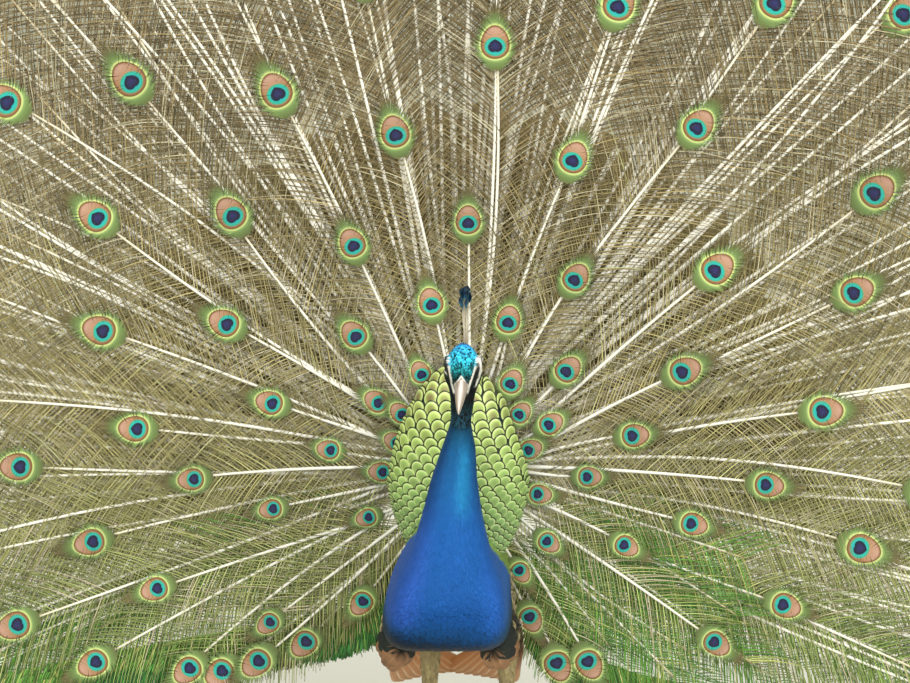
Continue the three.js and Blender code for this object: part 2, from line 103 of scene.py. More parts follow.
# The tail: its feathers' first and last reach, how far behind the fan they stand, their lowest heading.
FAN_ROOT, TAIL_LENGTH, TAIL_BEHIND, TAIL_LOWEST = 64.5, 425.0, 18.0, -8.0
# The back's shield: its middle, half its width, how far it goes up and down, and how far it bulges forwards.
SHIELD_X, SHIELD_Y, SHIELD_Z = 12.0, 74.0, 408.0
SHIELD_WIDE, SHIELD_UP, SHIELD_DOWN, SHIELD_BULGE = 78.0, 132.0, 112.0, 56.0
# The legs: the hock's and foot's middles between the two legs, and half the distance between the legs.
HOCK = np.array([23.0, 46.0, 166.0])
FOOT = np.array([12.0, 34.0, 15.0])
LEG_SPREAD = 43.0

# The rays, on which the long feathers lie, meet at one point, and the eyespots' rings centre on another.
RAY_X, RAY_Z, RING_X, RING_Z = 16.0, 415.0, 2.0, 274.0
RINGS = (0, 218, 300, 392, 486, 565, 641, 712, 790)
TALLER, LOPSIDED = 0.10, 0.035  # how much farther the rings reach at the top, and on the bird's right
DISC = (0.66, 0.72, 0.80, 0.90, 0.98, 1.02, 1.04, 1.04, 1.04, 1.03)  # eyespot size on each ring
RIM = 9  # the rim's eyespots count as this ring
SHAFT_ROWS = 24  # points along each train shaft
# The nearer eyespots, ring by ring: each one's heading in degrees and its reach from where the rays meet.
NEAR_EYES = (
    (
        (111.4, 127), (151.8, 86), (133.8, 100), (22.3, 83), (48.2, 98), (177.0, 92), (-13.3, 90),
        (-38.0, 124), (204.2, 118), (-59.2, 129), (87, 104),
    ), (
        (189.7, 218), (168.7, 153), (138.6, 128), (62.9, 121), (31.0, 116), (-0.4, 143), (-23.2, 201),
        (217.5, 276),
    ), (
        (199.7, 366), (179.8, 302), (158.5, 231), (126.8, 201), (100.0, 200), (73.7, 184), (45.7, 169),
        (13.8, 199), (-11.4, 265), (-33.3, 343), (232.4, 187), (-64.9, 184),
    ), (
        (189.2, 420), (170.7, 369), (146.2, 317), (114.8, 290), (88.7, 289), (60.8, 258), (26.4, 276),
        (-0.6, 341), (-21.4, 390), (215.2, 379), (219.2, 354), (222.5, 316), (227.4, 265), (-63.8, 247),
        (-56.5, 262),
    ), (
        (197.4, 521), (177.3, 491), (156.6, 434), (130.4, 392), (100.8, 394), (71.2, 379), (40.3, 368),
        (11.6, 409), (-9.2, 451),
    ),
    ((143.2, 499), (115.1, 478), (85.8, 486), (57.0, 472), (26.7, 482)),
    ((128.8, 574), (72.2, 554), (36.2, 555)),
    ((139.0, 650), (57.7, 629)),
    ((47.9, 702),),
)
SOURCE = np.random.default_rng  # each use draws from a source with a fixed number of its own
FULL_TURN = 6.2832  # radians


# ---- Arrays ----------------------------------------------
def placed(points):
    """Millimetres in the bird's coordinates, as metres in the frame."""
    return (np.asarray(points, float) + SHIFT) * MM


def unit(v):
    """Vectors at length one."""
    return v / np.maximum(np.linalg.norm(v, axis=-1, keepdims=True), 1e-9)


def stacked(*parts):
    """Arrays as the components of one array: broadcast together, along a new last axis."""
    return np.stack(np.broadcast_arrays(*parts), -1)


def along(rows, s):
    """Smooth curves (Catmull-Rom) through equal rows of numbers, read at places s counted in rows."""
    rows, s = np.asarray(rows, float), np.asarray(s, float)
    k = np.clip(np.floor(s).astype(int), 0, len(rows) - 2)
    t = (s - k)[..., None]
    p0, p1, p2, p3 = (rows[np.clip(k + i, 0, len(rows) - 1)] for i in (-1, 0, 1, 2))
    bend = 2 * p0 - 5 * p1 + 4 * p2 - p3
    return 0.5 * (2 * p1 + (p2 - p0) * t + bend * t**2 + (3 * p1 - p0 - 3 * p2 + p3) * t**3)


def grid_quads(count, rows, columns, closed=False):
    """Quads of count grids of rows by columns points. A closed grid joins its last column to the first."""
    i, j = np.meshgrid(np.arange(rows - 1), np.arange(columns if closed else columns - 1), indexing="ij")
    a, b = i * columns + j, i * columns + (j + 1) % columns
    quad = stacked(a, b, b + columns, a + columns).reshape(1, -1, 4)
    return (np.arange(count)[:, None, None] * rows * columns + quad).reshape(-1, 4)


def part(points, closed=False, flip=False, maps=None, values=None):
    """Grids of points (count, rows, columns, 3) as one part, with a value of each map at each point."""
    count, rows, columns = points.shape[:3]
    quads = grid_quads(count, rows, columns, closed)
    spread = {
        k: np.broadcast_to(v, (count, rows, columns, 2)).reshape(-1, 2) for k, v in (maps or {}).items()
    }
    worn = {}
    for key, v in (values or {}).items():
        width = () if np.ndim(v) < 4 else (np.shape(v)[-1],)
        worn[key] = np.broadcast_to(v, (count, rows, columns) + width).reshape((-1,) + width)
    return points.reshape(-1, 3), quads[:, ::-1] if flip else quads, spread, worn


def piece(name, parts, material, replaces=(), weld=False):
    """One mesh object from parts that carry the same maps and values, riding on the bird's one body."""
    start, points, quads = 0, [], []
    for p, q, _, _ in parts:
        points.append(p)
        quads.append(q + start)
        start += len(p)
    points, quads = np.concatenate(points), np.concatenate(quads)
    mesh = bpy.data.meshes.new(name)
    mesh.vertices.add(len(points))
    mesh.vertices.foreach_set("co", placed(points).ravel())
    mesh.loops.add(quads.size)
    mesh.loops.foreach_set("vertex_index", quads.ravel().astype(np.int32))
    mesh.polygons.add(len(quads))
    mesh.polygons.foreach_set("loop_start", np.arange(0, quads.size, 4, dtype=np.int32))
    mesh.update(calc_edges=True)
    for key in parts[0][2]:
        uv = np.concatenate([p[2][key] for p in parts])[quads.ravel()]
        mesh.uv_layers.new(name=key).data.foreach_set("uv", uv.ravel())
    for key in parts[0][3]:
        value = np.concatenate([p[3][key] for p in parts])
        kind = "FLOAT" if value.ndim == 1 else "FLOAT_COLOR"
        if value.ndim == 2:
            value = np.hstack([value, np.ones((len(value), 1))])
        layer = mesh.attributes.new(key, kind, "POINT")
        layer.data.foreach_set("value" if kind == "FLOAT" else "color", value.ravel())
    mesh.polygons.foreach_set("use_smooth", np.ones(len(quads), bool))
    if weld:
        work = bmesh.new()
        work.from_mesh(mesh)
        bmesh.ops.remove_doubles(work, verts=work.verts, dist=2e-5)
        bmesh.ops.dissolve_degenerate(work, edges=work.edges, dist=1e-6)
        work.to_mesh(mesh)
        work.free()
    mesh.materials.append(material)
    made = bpy.data.objects.new(name, mesh)
    bpy.context.scene.collection.objects.link(made)
    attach(made, "root")
    if replaces:
        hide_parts(*replaces)
    return made


# ---- Surfaces --------------------------------------------
def body_point(s, turn, inset=0.0):
    """The body at station s and angle turn about its middle line, from the back (0) by its left to the belly
    (pi): an egg-shaped section across the line from back to belly, squarer under the breast, drawn in by
    inset."""
    row = along(STATIONS, s)
    back = stacked(row[..., 5], row[..., 0], row[..., 1])
    belly = stacked(row[..., 5], row[..., 2], row[..., 3])
    up, middle = back - belly, (back + belly) / 2
    height = np.linalg.norm(up, axis=-1) / 2 - inset
    full = soft(s, 10.5, 13.5) * soft(-s, -18, -15.5)
    power = np.where(np.cos(turn) < 0, 1 - BROAD * full, 1.0)
    across = np.sign(np.sin(turn)) * np.abs(np.sin(turn)) ** power
    width = (row[..., 4] - inset) * across * (1 - (EGG + SAG * full) * np.cos(turn))
    point = middle + unit(up) * (height * np.cos(turn))[..., None]
    point[..., 0] += width
    return point


def lie_on(surface, u, v, step=0.02):
    """Point, direction of growing u and outward normal of a surface of two parameters, by small differences.
    The normal is right where v runs anticlockwise seen along growing u."""
    at = surface(u, v)
    lie = unit(surface(u + step, v) - surface(u - step, v))
    across = unit(surface(u, v + step) - surface(u, v - step))
    return at, lie, unit(np.cross(across, lie))


def fan_depth(x, z, forward):
    """The fan's dish: y falls (comes forward) with the squares of distances across and up from its root."""
    return FAN_Y - forward - CUP_SIDE * (x - FAN_X) ** 2 - CUP_TOP * (z - FAN_Z) ** 2


def fan_reach(heading):
    """How far the feathers at a heading (radians, 0 to the bird's left, pi/2 up) reach from the fan's root:
    their own length, or to the hem below, where that is nearer."""
    across, up = np.cos(heading), np.sin(heading)
    own = SIDE_LENGTH + (TOP_LENGTH - SIDE_LENGTH) * np.maximum(up, 0)
    start = np.where(across > 0, HEM_LEFT, HEM_RIGHT)
    hem = (FAN_Z - start) / np.maximum(-up - HEM_SLOPE * np.abs(across), 1e-6)
    floor = (FAN_Z - HEM_LOWEST) / np.maximum(-up, 1e-6)
    return np.where(up < 0, np.minimum(own, np.minimum(hem, floor)), own)


def fan_place(heading, reach):
    """Places (x, z) at headings (radians) and distances from the fan's root."""
    return stacked(FAN_X + reach * np.cos(heading), FAN_Z + reach * np.sin(heading))


def dome_point(x, z):
    """The back's shield: half an egg that bulges forwards, over the place (x, z) inside its outline."""
    up = z - SHIELD_Z
    tall = np.where(up > 0, SHIELD_UP, SHIELD_DOWN)
    wide = SHIELD_WIDE * (1 - 0.12 * np.minimum(np.abs(up) / tall, 1))
    spread = np.hypot((x - SHIELD_X) / wide, up / tall)
    y = SHIELD_Y - SHIELD_BULGE * np.sqrt(np.clip(1 - spread**2, 0, 1))
    return stacked(x, y, z), spread


def tubes(centres, radii, sides, ripple=None):
    """Round tubes along rows of centres shaped (count, rows, 3) with radii (count, rows): each ring stands
    across the path, and the first and last close on points of their own."""
    way = unit(np.gradient(centres, axis=1))
    pick = np.where(np.abs(way[..., 2:3]) > 0.8, [0.0, 1.0, 0.0], [0.0, 0.0, 1.0])
    side = unit(np.cross(way, pick))
    up = np.cross(side, way)
    turn = np.linspace(0, 2 * np.pi, sides, endpoint=False)
    ring = side[:, :, None] * np.cos(turn)[:, None] + up[:, :, None] * np.sin(turn)[:, None]
    radii = radii[..., None, None]
    if ripple is not None:
        radii = radii * ripple
    points = centres[:, :, None] + ring * radii
    ends = [np.repeat(centres[:, [k], None], sides, 2) for k in (0, -1)]
    return np.concatenate([ends[0], points, ends[1]], 1)


ROUND_TIP = (0.42, 0.85, 1.0, 0.93, 0.4)
LONG_TIP = (0.5, 0.95, 1.0, 0.75, 0.16)


def blades(root, lie, out, length, width, lift, curl, dish, outline, columns=3):
    """One feather blade for each root. The point at t along it and a across it (-1 to 1) lies t of the length
    along the lie, raised by the lift (degrees) and bent back by curl times t squared; its half width follows
    the outline, and its edges drop by dish times that half width."""
    rows = len(outline)
    t = np.linspace(0, 1, rows)[None, :, None, None]
    a = np.linspace(-1, 1, columns)[None, None, :, None]
    length, width, lift, curl = (
        np.broadcast_to(v, len(root)).astype(float)[:, None, None, None] for v in (length, width, lift, curl)
    )
    side = np.cross(lie, out)[:, None, None]
    half = width / 2 * np.asarray(outline)[None, :, None, None]
    tilt = np.radians(lift)
    rise = length * (np.sin(tilt) * t - curl * t**2) - dish * half * a**2
    run = length * np.cos(tilt) * t
    points = root[:, None, None] + lie[:, None, None] * run + out[:, None, None] * rise + side * (a * half)
    vane = np.concatenate([a / 2 + 0.5 + 0 * t, t + 0 * a], -1)
    return points, vane


def root_patch(u, v, vane, across=0.003):
    """Each blade's place on the bake map: a patch about its root's place (u, v) on the skin's unwrap."""
    place = stacked(np.broadcast_to(u, np.shape(v)), v)[:, None, None]
    return np.clip(place * 0.99 + 0.002 + (vane - 0.5) * across, 0, 1)


def even_places(count, seed=0.5):
    """Count well-spread points in the unit square (the plastic number's additive recurrence)."""
    n = np.arange(1, count + 1)
    return (seed + n * 0.7548776662466927) % 1, (seed + n * 0.5698402909980532) % 1


def even_stations(u, start, end):
    """Shares u of the body's surface between two stations, as stations: the area's running sum read
    backwards."""
    s = np.linspace(start, end, 240)
    ring = body_point(s[:, None], np.linspace(0, 2 * np.pi, 25)[None])
    round_ = np.linalg.norm(np.diff(ring, axis=1), axis=-1).sum(1)
    step = np.linalg.norm(np.gradient(ring.mean(1), axis=0), axis=-1)
    total = np.cumsum(round_ * step)
    return np.interp(u, total / total[-1], s)


def even_turns(s, share):
    """Shares of the body's girth at stations s, as angles: each girth's running length read backwards. The
    angles it is measured at, pi w^3 / (w^3 + (1 - w)^3) on each half, crowd together at the middle of front
    and back, where the broad sections turn fastest."""
    w = np.linspace(0, 1, 121)
    half = np.pi * w**3 / (w**3 + (1 - w) ** 3)
    angles = np.concatenate([half, np.pi + half[1:]])
    ring = body_point(s[:, None], angles[None])
    total = np.cumsum(np.linalg.norm(np.diff(ring, axis=1), axis=-1), axis=1)
    total = np.hstack([np.zeros((len(s), 1)), total / total[:, -1:]])
    place = np.clip((total <= share[:, None]).sum(1) - 1, 0, len(angles) - 2)
    row = np.arange(len(s))
    rest = (share - total[row, place]) / np.maximum(total[row, place + 1] - total[row, place], 1e-9)
    return angles[place] + rest.clip(0, 1) * (angles[place + 1] - angles[place])


# ---- Colours ---------------------------------------------
def linear(code):
    """An sRGB hex code as linear RGBA."""
    value = np.array([int(code[i : i + 2], 16) for i in (0, 2, 4)]) / 255
    value = np.where(value <= 0.04045, value / 12.92, ((value + 0.055) / 1.055) ** 2.4)
    return (*(float(v) for v in value), 1.0)


def rgb(code):
    """An sRGB hex code as linear RGB."""
    return np.array(linear(code)[:3])


def blend_of(codes, places, at):
    """Linear colours read along places at a value, between hex codes."""
    table = np.array([rgb(c) for c in codes])
    return np.stack([np.interp(at, places, table[:, k]) for k in range(3)], -1)


def mix(a, b, share):
    """Colours a turned into b by share."""
    return a + (b - a) * np.asarray(share)[..., None]


def soft(x, low, high):
    """A smooth step from 0 at low to 1 at high."""
    t = np.clip((x - low) / (high - low), 0, 1)
    return t * t * (3 - 2 * t)


# The head's own axes, from the eye: forward along the bill, up across it.
BILL_WAY = np.array([-0.766, -0.642])
BILL_UP = np.array([-0.642, 0.766])


def head_axes(points):
    """Distance forward and up from the eyes along the head's axes, and outwards from its middle."""
    yz = points[..., 1:] - EYE_PLACE[1:]
    return yz @ BILL_WAY, yz @ BILL_UP, np.abs(points[..., 0] - HEAD_X)


def eye_distance(forward, up):
    """Distance from the eye's middle across its almond, which is a little longer than it is high."""
    return np.hypot(forward / 1.1, up / 0.95)


def face_marks(points):
    """Where a point of the head lies across its markings. rise is its height in a plane tipped back ten
    degrees, off its distance beside the face's middle, and half the white stripe's distance there."""
    rise = 0.985 * points[..., 2] + 0.174 * points[..., 1]
    middle = np.interp(rise, (514, 529, 548, 559), (14.0, 14.0, 15.4, 15.8))
    half = np.interp(rise, (514, 529, 548, 553, 562), (5.4, 9.2, 13.9, 15.0, 15.2))
    return rise, np.abs(points[..., 0] - middle), half


def cheek_crescent(points, rise, off):
    """How far a point is on the left cheek's crescent, the edge of the bare skin as far round as it shows."""
    reach = np.interp(rise, (527, 536, 546, 552, 562), (15.4, 18.2, 20.3, 18.8, 15.9))
    band = soft(-np.abs(off - reach), -1.7, -0.9) * soft(rise, 525, 529) * soft(-rise, -563, -559)
    return band * (points[..., 0] > HEAD_X)


def bare_skin(points):
    """How far a point is on the face's bare white skin: a narrow stripe from the bill's side up past the eye,
    broken at the eye, its run back over the eye, a crescent under it, and a peak over the bill's root."""
    f, u, out = head_axes(points)
    rise, off, half = face_marks(points)
    stripe = soft(-np.abs(off - half), -1.6, -0.7) * soft(f, -4, -1) * soft(-rise, -561.5, -559.5)
    stripe = stripe * (1 - 0.95 * np.exp(-(((rise - 550.0) / 1.7) ** 4))) * soft(rise, 518, 521)
    stripe = np.maximum(stripe, cheek_crescent(points, rise, off) * soft(f, -9, -6))
    over = soft(-np.abs(u - 8.6), -1.5, -0.8) * soft(f, -14, -10) * soft(-f, 3, 6)
    under = soft(-np.abs(u + 9.6 - 0.020 * (f + 1) ** 2), -2.6, -1.7) * soft(f, -15, -11) * soft(-f, -9, -5)
    peak = soft(-np.abs(off - 0.72 * (537.5 - rise)), -1.4, -0.6)
    peak = peak * soft(rise, 525, 527) * soft(-rise, -539.5, -538)
    stripe = np.maximum(stripe, peak * soft(f, 12, 15))
    return np.maximum(stripe, np.maximum(over, under) * soft(out, 14.0, 15.5))


def plumage(points):
    """Markings of the body's skin and coat by place: turquoise crown, black face, bare white skin, dark teal
    throat, blue neck and breast, black belly, and a green-gold mantle. On the neck light is painted: a cyan
    highlight right of the middle for its iridescence, and lighter blue down both sides against their shade,
    brightest down the left."""
    x, y, z = points[..., 0], points[..., 1], points[..., 2]
    halves = (62, 58, 51.5, 41, 33, 26, 19, 12.5, 14)
    half = np.interp(z, (250, 289, 326, 366, 408, 445, 476, 503, 545), halves)
    middle = np.interp(z, (289, 326, 366, 408, 445, 476, 503), (-1, 2, 4, 5.4, 7.5, 11.8, 14.3))
    off = (x - middle) / half
    colour = blend_of(
        ("0a0d10", "0b131b", "0f2a46", "14467c", "17509a", "1a549e", "1b5aa6", "1a5c9c", "195c94", "165680",
         "123848", "0d262e"),
        (266, 281, 294, 308, 328, 355, 410, 455, 485, 501, 514, 530),
        z + 9 * off.clip(-1, 1) * soft(-z, -340, -310),
    )
    # Painted highlight: a cyan streak right of the neck's middle stands in for its iridescent sheen.
    glow = np.exp(-(((off - 0.32) / 0.3) ** 2)) * soft(z, 415, 445) * soft(-z, -503, -478)
    colour = mix(colour, rgb("2388bc"), 0.6 * glow)
    # Painted light: lighter blue down the neck's left side, and below down its right, lifts the shade where
    # it turns away.
    left = soft(-off, 0.35, 0.95) * soft(z, 305, 330) * soft(-z, -530, -505)
    left_painted_blue = blend_of(("345fc4", "3462c4", "1f468a", "1c4272"), (330, 400, 445, 500), z)
    colour = mix(colour, left_painted_blue, 0.75 * left)
    right = soft(off, 0.5, 1.0) * soft(z, 300, 320) * soft(-z, -520, -495)
    colour = mix(colour, blend_of(("2c68c8", "2460b4", "1a4674"), (340, 410, 490), z), 0.75 * right)
    low = soft(y, -60, -20) * soft(-z, -306, -288)
    colour = mix(colour, rgb("101517"), low)
    edge = np.interp(z, (290, 330, 380), (40, 8, -34))
    mantle = soft(y - edge, 0, 22) * soft(z, 296, 312) * soft(-z, -480, -450)
    colour = mix(colour, blend_of(("86a04c", "93b25c"), (320, 400), z), mantle)
    f, u = head_axes(points)[:2]
    rise, aside, stripe = face_marks(points)
    near_head = soft(z, 528, 540)
    crown = blend_of(("125c62", "2ea4b2", "36b8da", "38b8ea", "3890e4"), (536, 543, 552, 560, 572), rise)
    crown = mix(crown, rgb("2a4fb4"), soft(aside, 9, 17) * soft(rise, 560, 567) * 0.8)
    crown = mix(crown, blend_of(("15406a", "164a86"), (540, 590), z), soft(-f, 10, 24))
    colour = mix(colour, crown, near_head * soft(u, -14, -6) * soft(stripe - aside, -1.5, -0.2))
    face = soft(aside - stripe, -0.6, 0.5) * soft(-rise, -562, -559) * soft(f, -19, -13)
    throat = soft(-rise, -536, -532) * soft(f, -4, 6)
    colour = mix(colour, rgb("090d10"), np.maximum(face, 0.75 * throat) * near_head)
    return mix(colour, rgb("ece9e2"), bare_skin(points) * near_head)


# ---- Materials -------------------------------------------
def add_node(tree, kind, inputs=None, stops=None, **settings):
    """Adds a node. inputs holds each socket's value or the socket that feeds it, stops a ramp's places and
    colours, and settings the node's own properties."""
    made = tree.nodes.new("ShaderNode" + kind)
    for key, value in settings.items():
        setattr(made, key, value)
    for key, value in (inputs or {}).items():
        if isinstance(value, NodeSocket):
            tree.links.new(value, made.inputs[key])
        else:
            made.inputs[key].default_value = value
    if stops:
        band = made.color_ramp.elements
        while len(band) < len(stops):
            band.new(0.5)
        for element, (place, colour) in zip(band, stops):
            element.position = place
            element.color = linear(colour) if isinstance(colour, str) else (colour, colour, colour, 1)
    return made


def maths(tree, operation, *values):
    """The result of a sum on values or sockets."""
    return add_node(tree, "Math", dict(enumerate(values)), operation=operation).outputs[0]


def remap(tree, value, low, high, first=0.0, last=1.0, kind="LINEAR"):
    """A value from low to high turned into one from first to last, and held there outside them."""
    inputs = {0: value, 1: low, 2: high, 3: first, 4: last}
    return add_node(tree, "MapRange", inputs, interpolation_type=kind).outputs[0]


def ramp(tree, value, stops):
    """The colour at a value on a ramp of places and colours."""
    return add_node(tree, "ValToRGB", {0: value}, stops=stops).outputs[0]


def mixed(tree, share, a, b, **settings):
    """Colour a turned into b by share."""
    inputs = {"Factor": share, "A": a, "B": b}
    return add_node(tree, "Mix", inputs, data_type="RGBA", **settings).outputs["Result"]


def scaled(tree, colour, factor):
    """A colour times a factor."""
    return add_node(tree, "VectorMath", {0: colour, 3: factor}, operation="SCALE").outputs[0]


def distance(tree, place, scale, shift):
    """The length of a place after scale and shift, axis by axis."""
    moved = add_node(tree, "VectorMath", {0: place, 1: scale, 2: shift}, operation="MULTIPLY_ADD")
    return add_node(tree, "VectorMath", {0: moved.outputs[0]}, operation="LENGTH").outputs["Value"]


def noise(tree, scale, detail):
    """Soft noise over the object, with scale grains to the metre."""
    where = add_node(tree, "TexCoord")
    inputs = {"Vector": where.outputs["Object"], "Scale": scale, "Detail": detail}
    return add_node(tree, "TexNoise", inputs).outputs[0]


def attribute(tree, name, kind="Color"):
    """An attribute's colour, or its plain value where kind is Fac."""
    return add_node(tree, "Attribute", attribute_name=name).outputs[kind]


def vane_axes(tree):
    """A point's shares across and along its feather."""
    place = add_node(tree, "UVMap", uv_map="vane")
    return add_node(tree, "SeparateXYZ", {0: place.outputs[0]}).outputs[:2]


def feed(tree, body, colour, height=None, strength=0.0, depth=0.0):
    """Feeds a shader's colour and, where a height is given, its bumps, depth metres deep."""
    tree.links.new(colour, body.inputs["Base Color"])
    if height is not None:
        bump = add_node(tree, "Bump", {"Strength": strength, "Distance": depth, "Height": height})
        tree.links.new(bump.outputs[0], body.inputs["Normal"])


def new_material(name, **shader):
    """A material with its shader's constant values set. Returns it, its tree and its Principled node."""
    material = bpy.data.materials.new(name)
    material.use_nodes = True
    tree = material.node_tree
    body = tree.nodes["Principled BSDF"]
    for key, value in shader.items():
        body.inputs[key.replace("_", " ")].default_value = value
    return material, tree, body


def graded_material(name, stops, **shader):
    """A material whose colour follows a ramp along the feather, by its map's second value."""
    material, tree, body = new_material(name, **shader)
    feed(tree, body, ramp(tree, vane_axes(tree)[1], stops))
    return material


def plume_material(name, roughness, metallic, sheen, tint, barbs, streak, quill=0.0, gloss=0.4):
    """Plumage: the markings attribute, a little lighter or darker on each feather, with barbs that slant from
    the shaft as bump and streaks. Real barbs are 0.3 mm apart, and are drawn coarser so that they show."""
    material, tree, body = new_material(
        name, Roughness=roughness, Metallic=metallic, Sheen_Weight=sheen, Sheen_Tint=linear(tint),
        Sheen_Roughness=0.35, Specular_IOR_Level=gloss,
    )
    across, run = vane_axes(tree)
    away = maths(tree, "ABSOLUTE", maths(tree, "SUBTRACT", across, 0.5))
    slant = maths(tree, "MULTIPLY_ADD", away, -0.7, run)
    wave = maths(tree, "SINE", maths(tree, "MULTIPLY", slant, barbs * FULL_TURN))
    level = maths(tree, "MULTIPLY_ADD", wave, streak * 0.5, 1.0)
    shade = maths(tree, "MULTIPLY", attribute(tree, "tone", "Fac"), level)
    if quill:
        near = remap(tree, away, 0.012, 0.03, 1.0 + quill, 1.0, "SMOOTHSTEP")
        shade = maths(tree, "MULTIPLY", shade, near)
    feed(tree, body, scaled(tree, attribute(tree, "marks"), shade), wave, 0.35, 0.0004)
    return material


def hackle_material(name):
    """Blue hackles of neck and trunk: satin, with a blue sheen."""
    return plume_material(name, 0.45, 0.3, 0.06, "2f78e0", barbs=5, streak=0.16, gloss=0.12)


def skin_material():
    """Bird skin under the coat: the same markings, pebbled by the feathers' pores at 1.5 mm."""
    material, tree, body = new_material("bird_skin", Roughness=0.62)
    where = add_node(tree, "TexCoord")
    pores = add_node(tree, "TexVoronoi", {"Vector": where.outputs["Object"], "Scale": 1 / (1.5 * MM)})
    feed(tree, body, attribute(tree, "marks"), pores.outputs["Distance"], 0.4, 0.0004)
    return material


def claw_material():
    """Horn of the claws and spurs, grown in layers: smooth, a little streaked, and paler from 20 mm up down
    to the floor."""
    material, tree, body = new_material(
        "dark_claw_horn", Roughness=0.38, Coat_Weight=0.15, Coat_Roughness=0.25
    )
    where = add_node(tree, "TexCoord")
    height = add_node(tree, "SeparateXYZ", {0: where.outputs["Object"]}).outputs[2]
    streak = noise(tree, 1 / (4 * MM), 4.0)
    share = maths(tree, "MULTIPLY_ADD", streak, 0.35, remap(tree, height, 0.0, 20 * MM))
    feed(tree, body, ramp(tree, share, [(0.15, "6b5f4e"), (0.75, "3a332b")]), streak, 0.2, 0.0003)
    return material


def bill_material():
    """The bill's horn: grey-pink, with a painted highlight along the ridge, darker down its sides, pale
    cutting edges and a pale edge at the feathers. The map runs round each half from its edge over the ridge
    (0.41), and from root to tip."""
    material, tree, body = new_material("bill_horn", Roughness=0.38, Coat_Weight=0.12, Coat_Roughness=0.3)
    across, run = vane_axes(tree)
    away = maths(tree, "ABSOLUTE", maths(tree, "SUBTRACT", across, 0.41))
    # Painted highlight: pale along the ridge (away 0); the pale cutting edges (away 0.41) are the horn's own.
    colour = ramp(tree, away, [
        (0.0, "efe4dc"), (0.05, "e2d4cc"), (0.12, "bfb0a8"), (0.28, "94867c"), (0.36, "b8aaa0"),
        (0.41, "ddd4cc"),
    ])
    root = remap(tree, run, 0.03, 0.08, 0.85, 0.0)
    grain = noise(tree, 1 / (3 * MM), 4.0)
    feed(tree, body, mixed(tree, root, colour, linear("efece6")), grain, 0.2, 0.0003)
    return material


def shaft_material():
    """The quills' keratin: ivory and satin, dusky towards the feather's tip."""
    return graded_material("quill_ivory", [
        (0.0, "e0d6c0"), (0.12, "fbf8f0"), (0.8, "faf6ea"), (0.95, "d8c8a0"), (1.0, "8f7a54"),
    ], Roughness=0.42)


def barb_material():
    """Loose train barbs: a ramus between dark bronze barbules. The markings attribute holds each barb's own
    colour, and ramps darken its far end and its two edges, which are partly the darker barbules and partly
    painted shade between neighbouring barbs."""
    material, tree, body = new_material("bronze_barbs", Roughness=0.42, Metallic=0.1, Sheen_Weight=0.1)
    across, run = vane_axes(tree)
    ends = ramp(tree, run, [(0.0, 1.0), (0.35, 0.95), (0.8, 0.8), (1.0, 0.65)])
    # Darker barbules and painted shade: both edges of each strip are darkened, and its pale middle is the
    # ramus.
    edges = ramp(tree, across, [(0.0, 0.3), (0.24, 0.4), (0.4, 1.1), (0.6, 1.1), (0.76, 0.4), (1.0, 0.3)])
    feed(tree, body, scaled(tree, attribute(tree, "marks"), maths(tree, "MULTIPLY", ends, edges)))
    return material


EYESPOT_SPAN = 120.0  # the eyespot's map covers this many millimetres, at a disc size of 1


def eyespot_material():
    """An eyespot's vane: structural colour in rings. From the middle: violet-navy heart with a black edge,
    turquoise round, bronze egg that turns rosy towards the feather's tip, brown and pale gold lines, and
    green fringe that fades to bronze. The map holds millimetres from the disc's middle."""
    material, tree, body = new_material("eyespot_vane", Roughness=0.42, Metallic=0.15, Sheen_Weight=0.1)
    place = add_node(tree, "UVMap", uv_map="eyespot")
    spot = add_node(
        tree, "VectorMath", {0: place.outputs[0], 1: (EYESPOT_SPAN,) * 3, 2: (-EYESPOT_SPAN / 2,) * 3},
        operation="MULTIPLY_ADD",
    )
    across, run = add_node(tree, "SeparateXYZ", {0: spot.outputs[0]}).outputs[:2]
    side = maths(tree, "ABSOLUTE", across)

    def ring(half_x, half_y, middle, swell=0.0, notch=0.0):
        """Distance from an oval's middle over its radius. swell widens it to the root, and notch cuts the
        heart's cleft by sliding points along by the root of their distance aside."""
        x = maths(tree, "MULTIPLY", side, maths(tree, "MULTIPLY_ADD", run, swell, 1.0))
        y = maths(tree, "MULTIPLY_ADD", maths(tree, "POWER", side, 0.55), notch, run)
        flat = add_node(tree, "CombineXYZ", {0: x, 1: y}).outputs[0]
        return distance(tree, flat, (1 / half_x, 1 / half_y, 1.0), (0.0, -middle / half_y, 0.0))

    halved = maths(tree, "MULTIPLY", ring(16.2, 19.0, 1.0, swell=0.0085), 0.5)
    egg = ramp(tree, halved, [
        (0.0, "b28a5c"), (0.40, "a87c54"), (0.465, "8a5c3a"), (0.49, "5f4a2a"), (0.505, "ccd884"),
        (0.54, "c6d484"), (0.562, "90aa68"), (0.62, "748e50"), (0.76, "667642"), (0.95, "6a603c"),
    ])
    rosy = maths(
        tree, "MULTIPLY", remap(tree, run, 2.0, 15.0), remap(tree, halved, 0.40, 0.47, 1.0, 0.0)
    )
    disc = mixed(tree, rosy, egg, linear("c49a86"))
    teal = ring(12.0, 10.6, -4.0)
    teal_colour = ramp(tree, teal, [(0.0, "1f86b4"), (0.55, "1aa0b8"), (0.82, "27b8a8"), (0.97, "3aa888")])
    disc = mixed(tree, remap(tree, teal, 0.97, 1.05, 1.0, 0.0), disc, teal_colour)
    heart = ring(8.0, 6.9, -2.3, notch=0.8)
    heart_colour = ramp(tree, heart, [(0.0, "2a2c66"), (0.5, "1f2152"), (0.8, "0f1334"), (1.0, "080a1e")])
    disc = mixed(tree, remap(tree, heart, 0.94, 1.06, 1.0, 0.0), disc, heart_colour)
    feed(tree, body, scaled(tree, disc, attribute(tree, "tone", "Fac")))
    return material


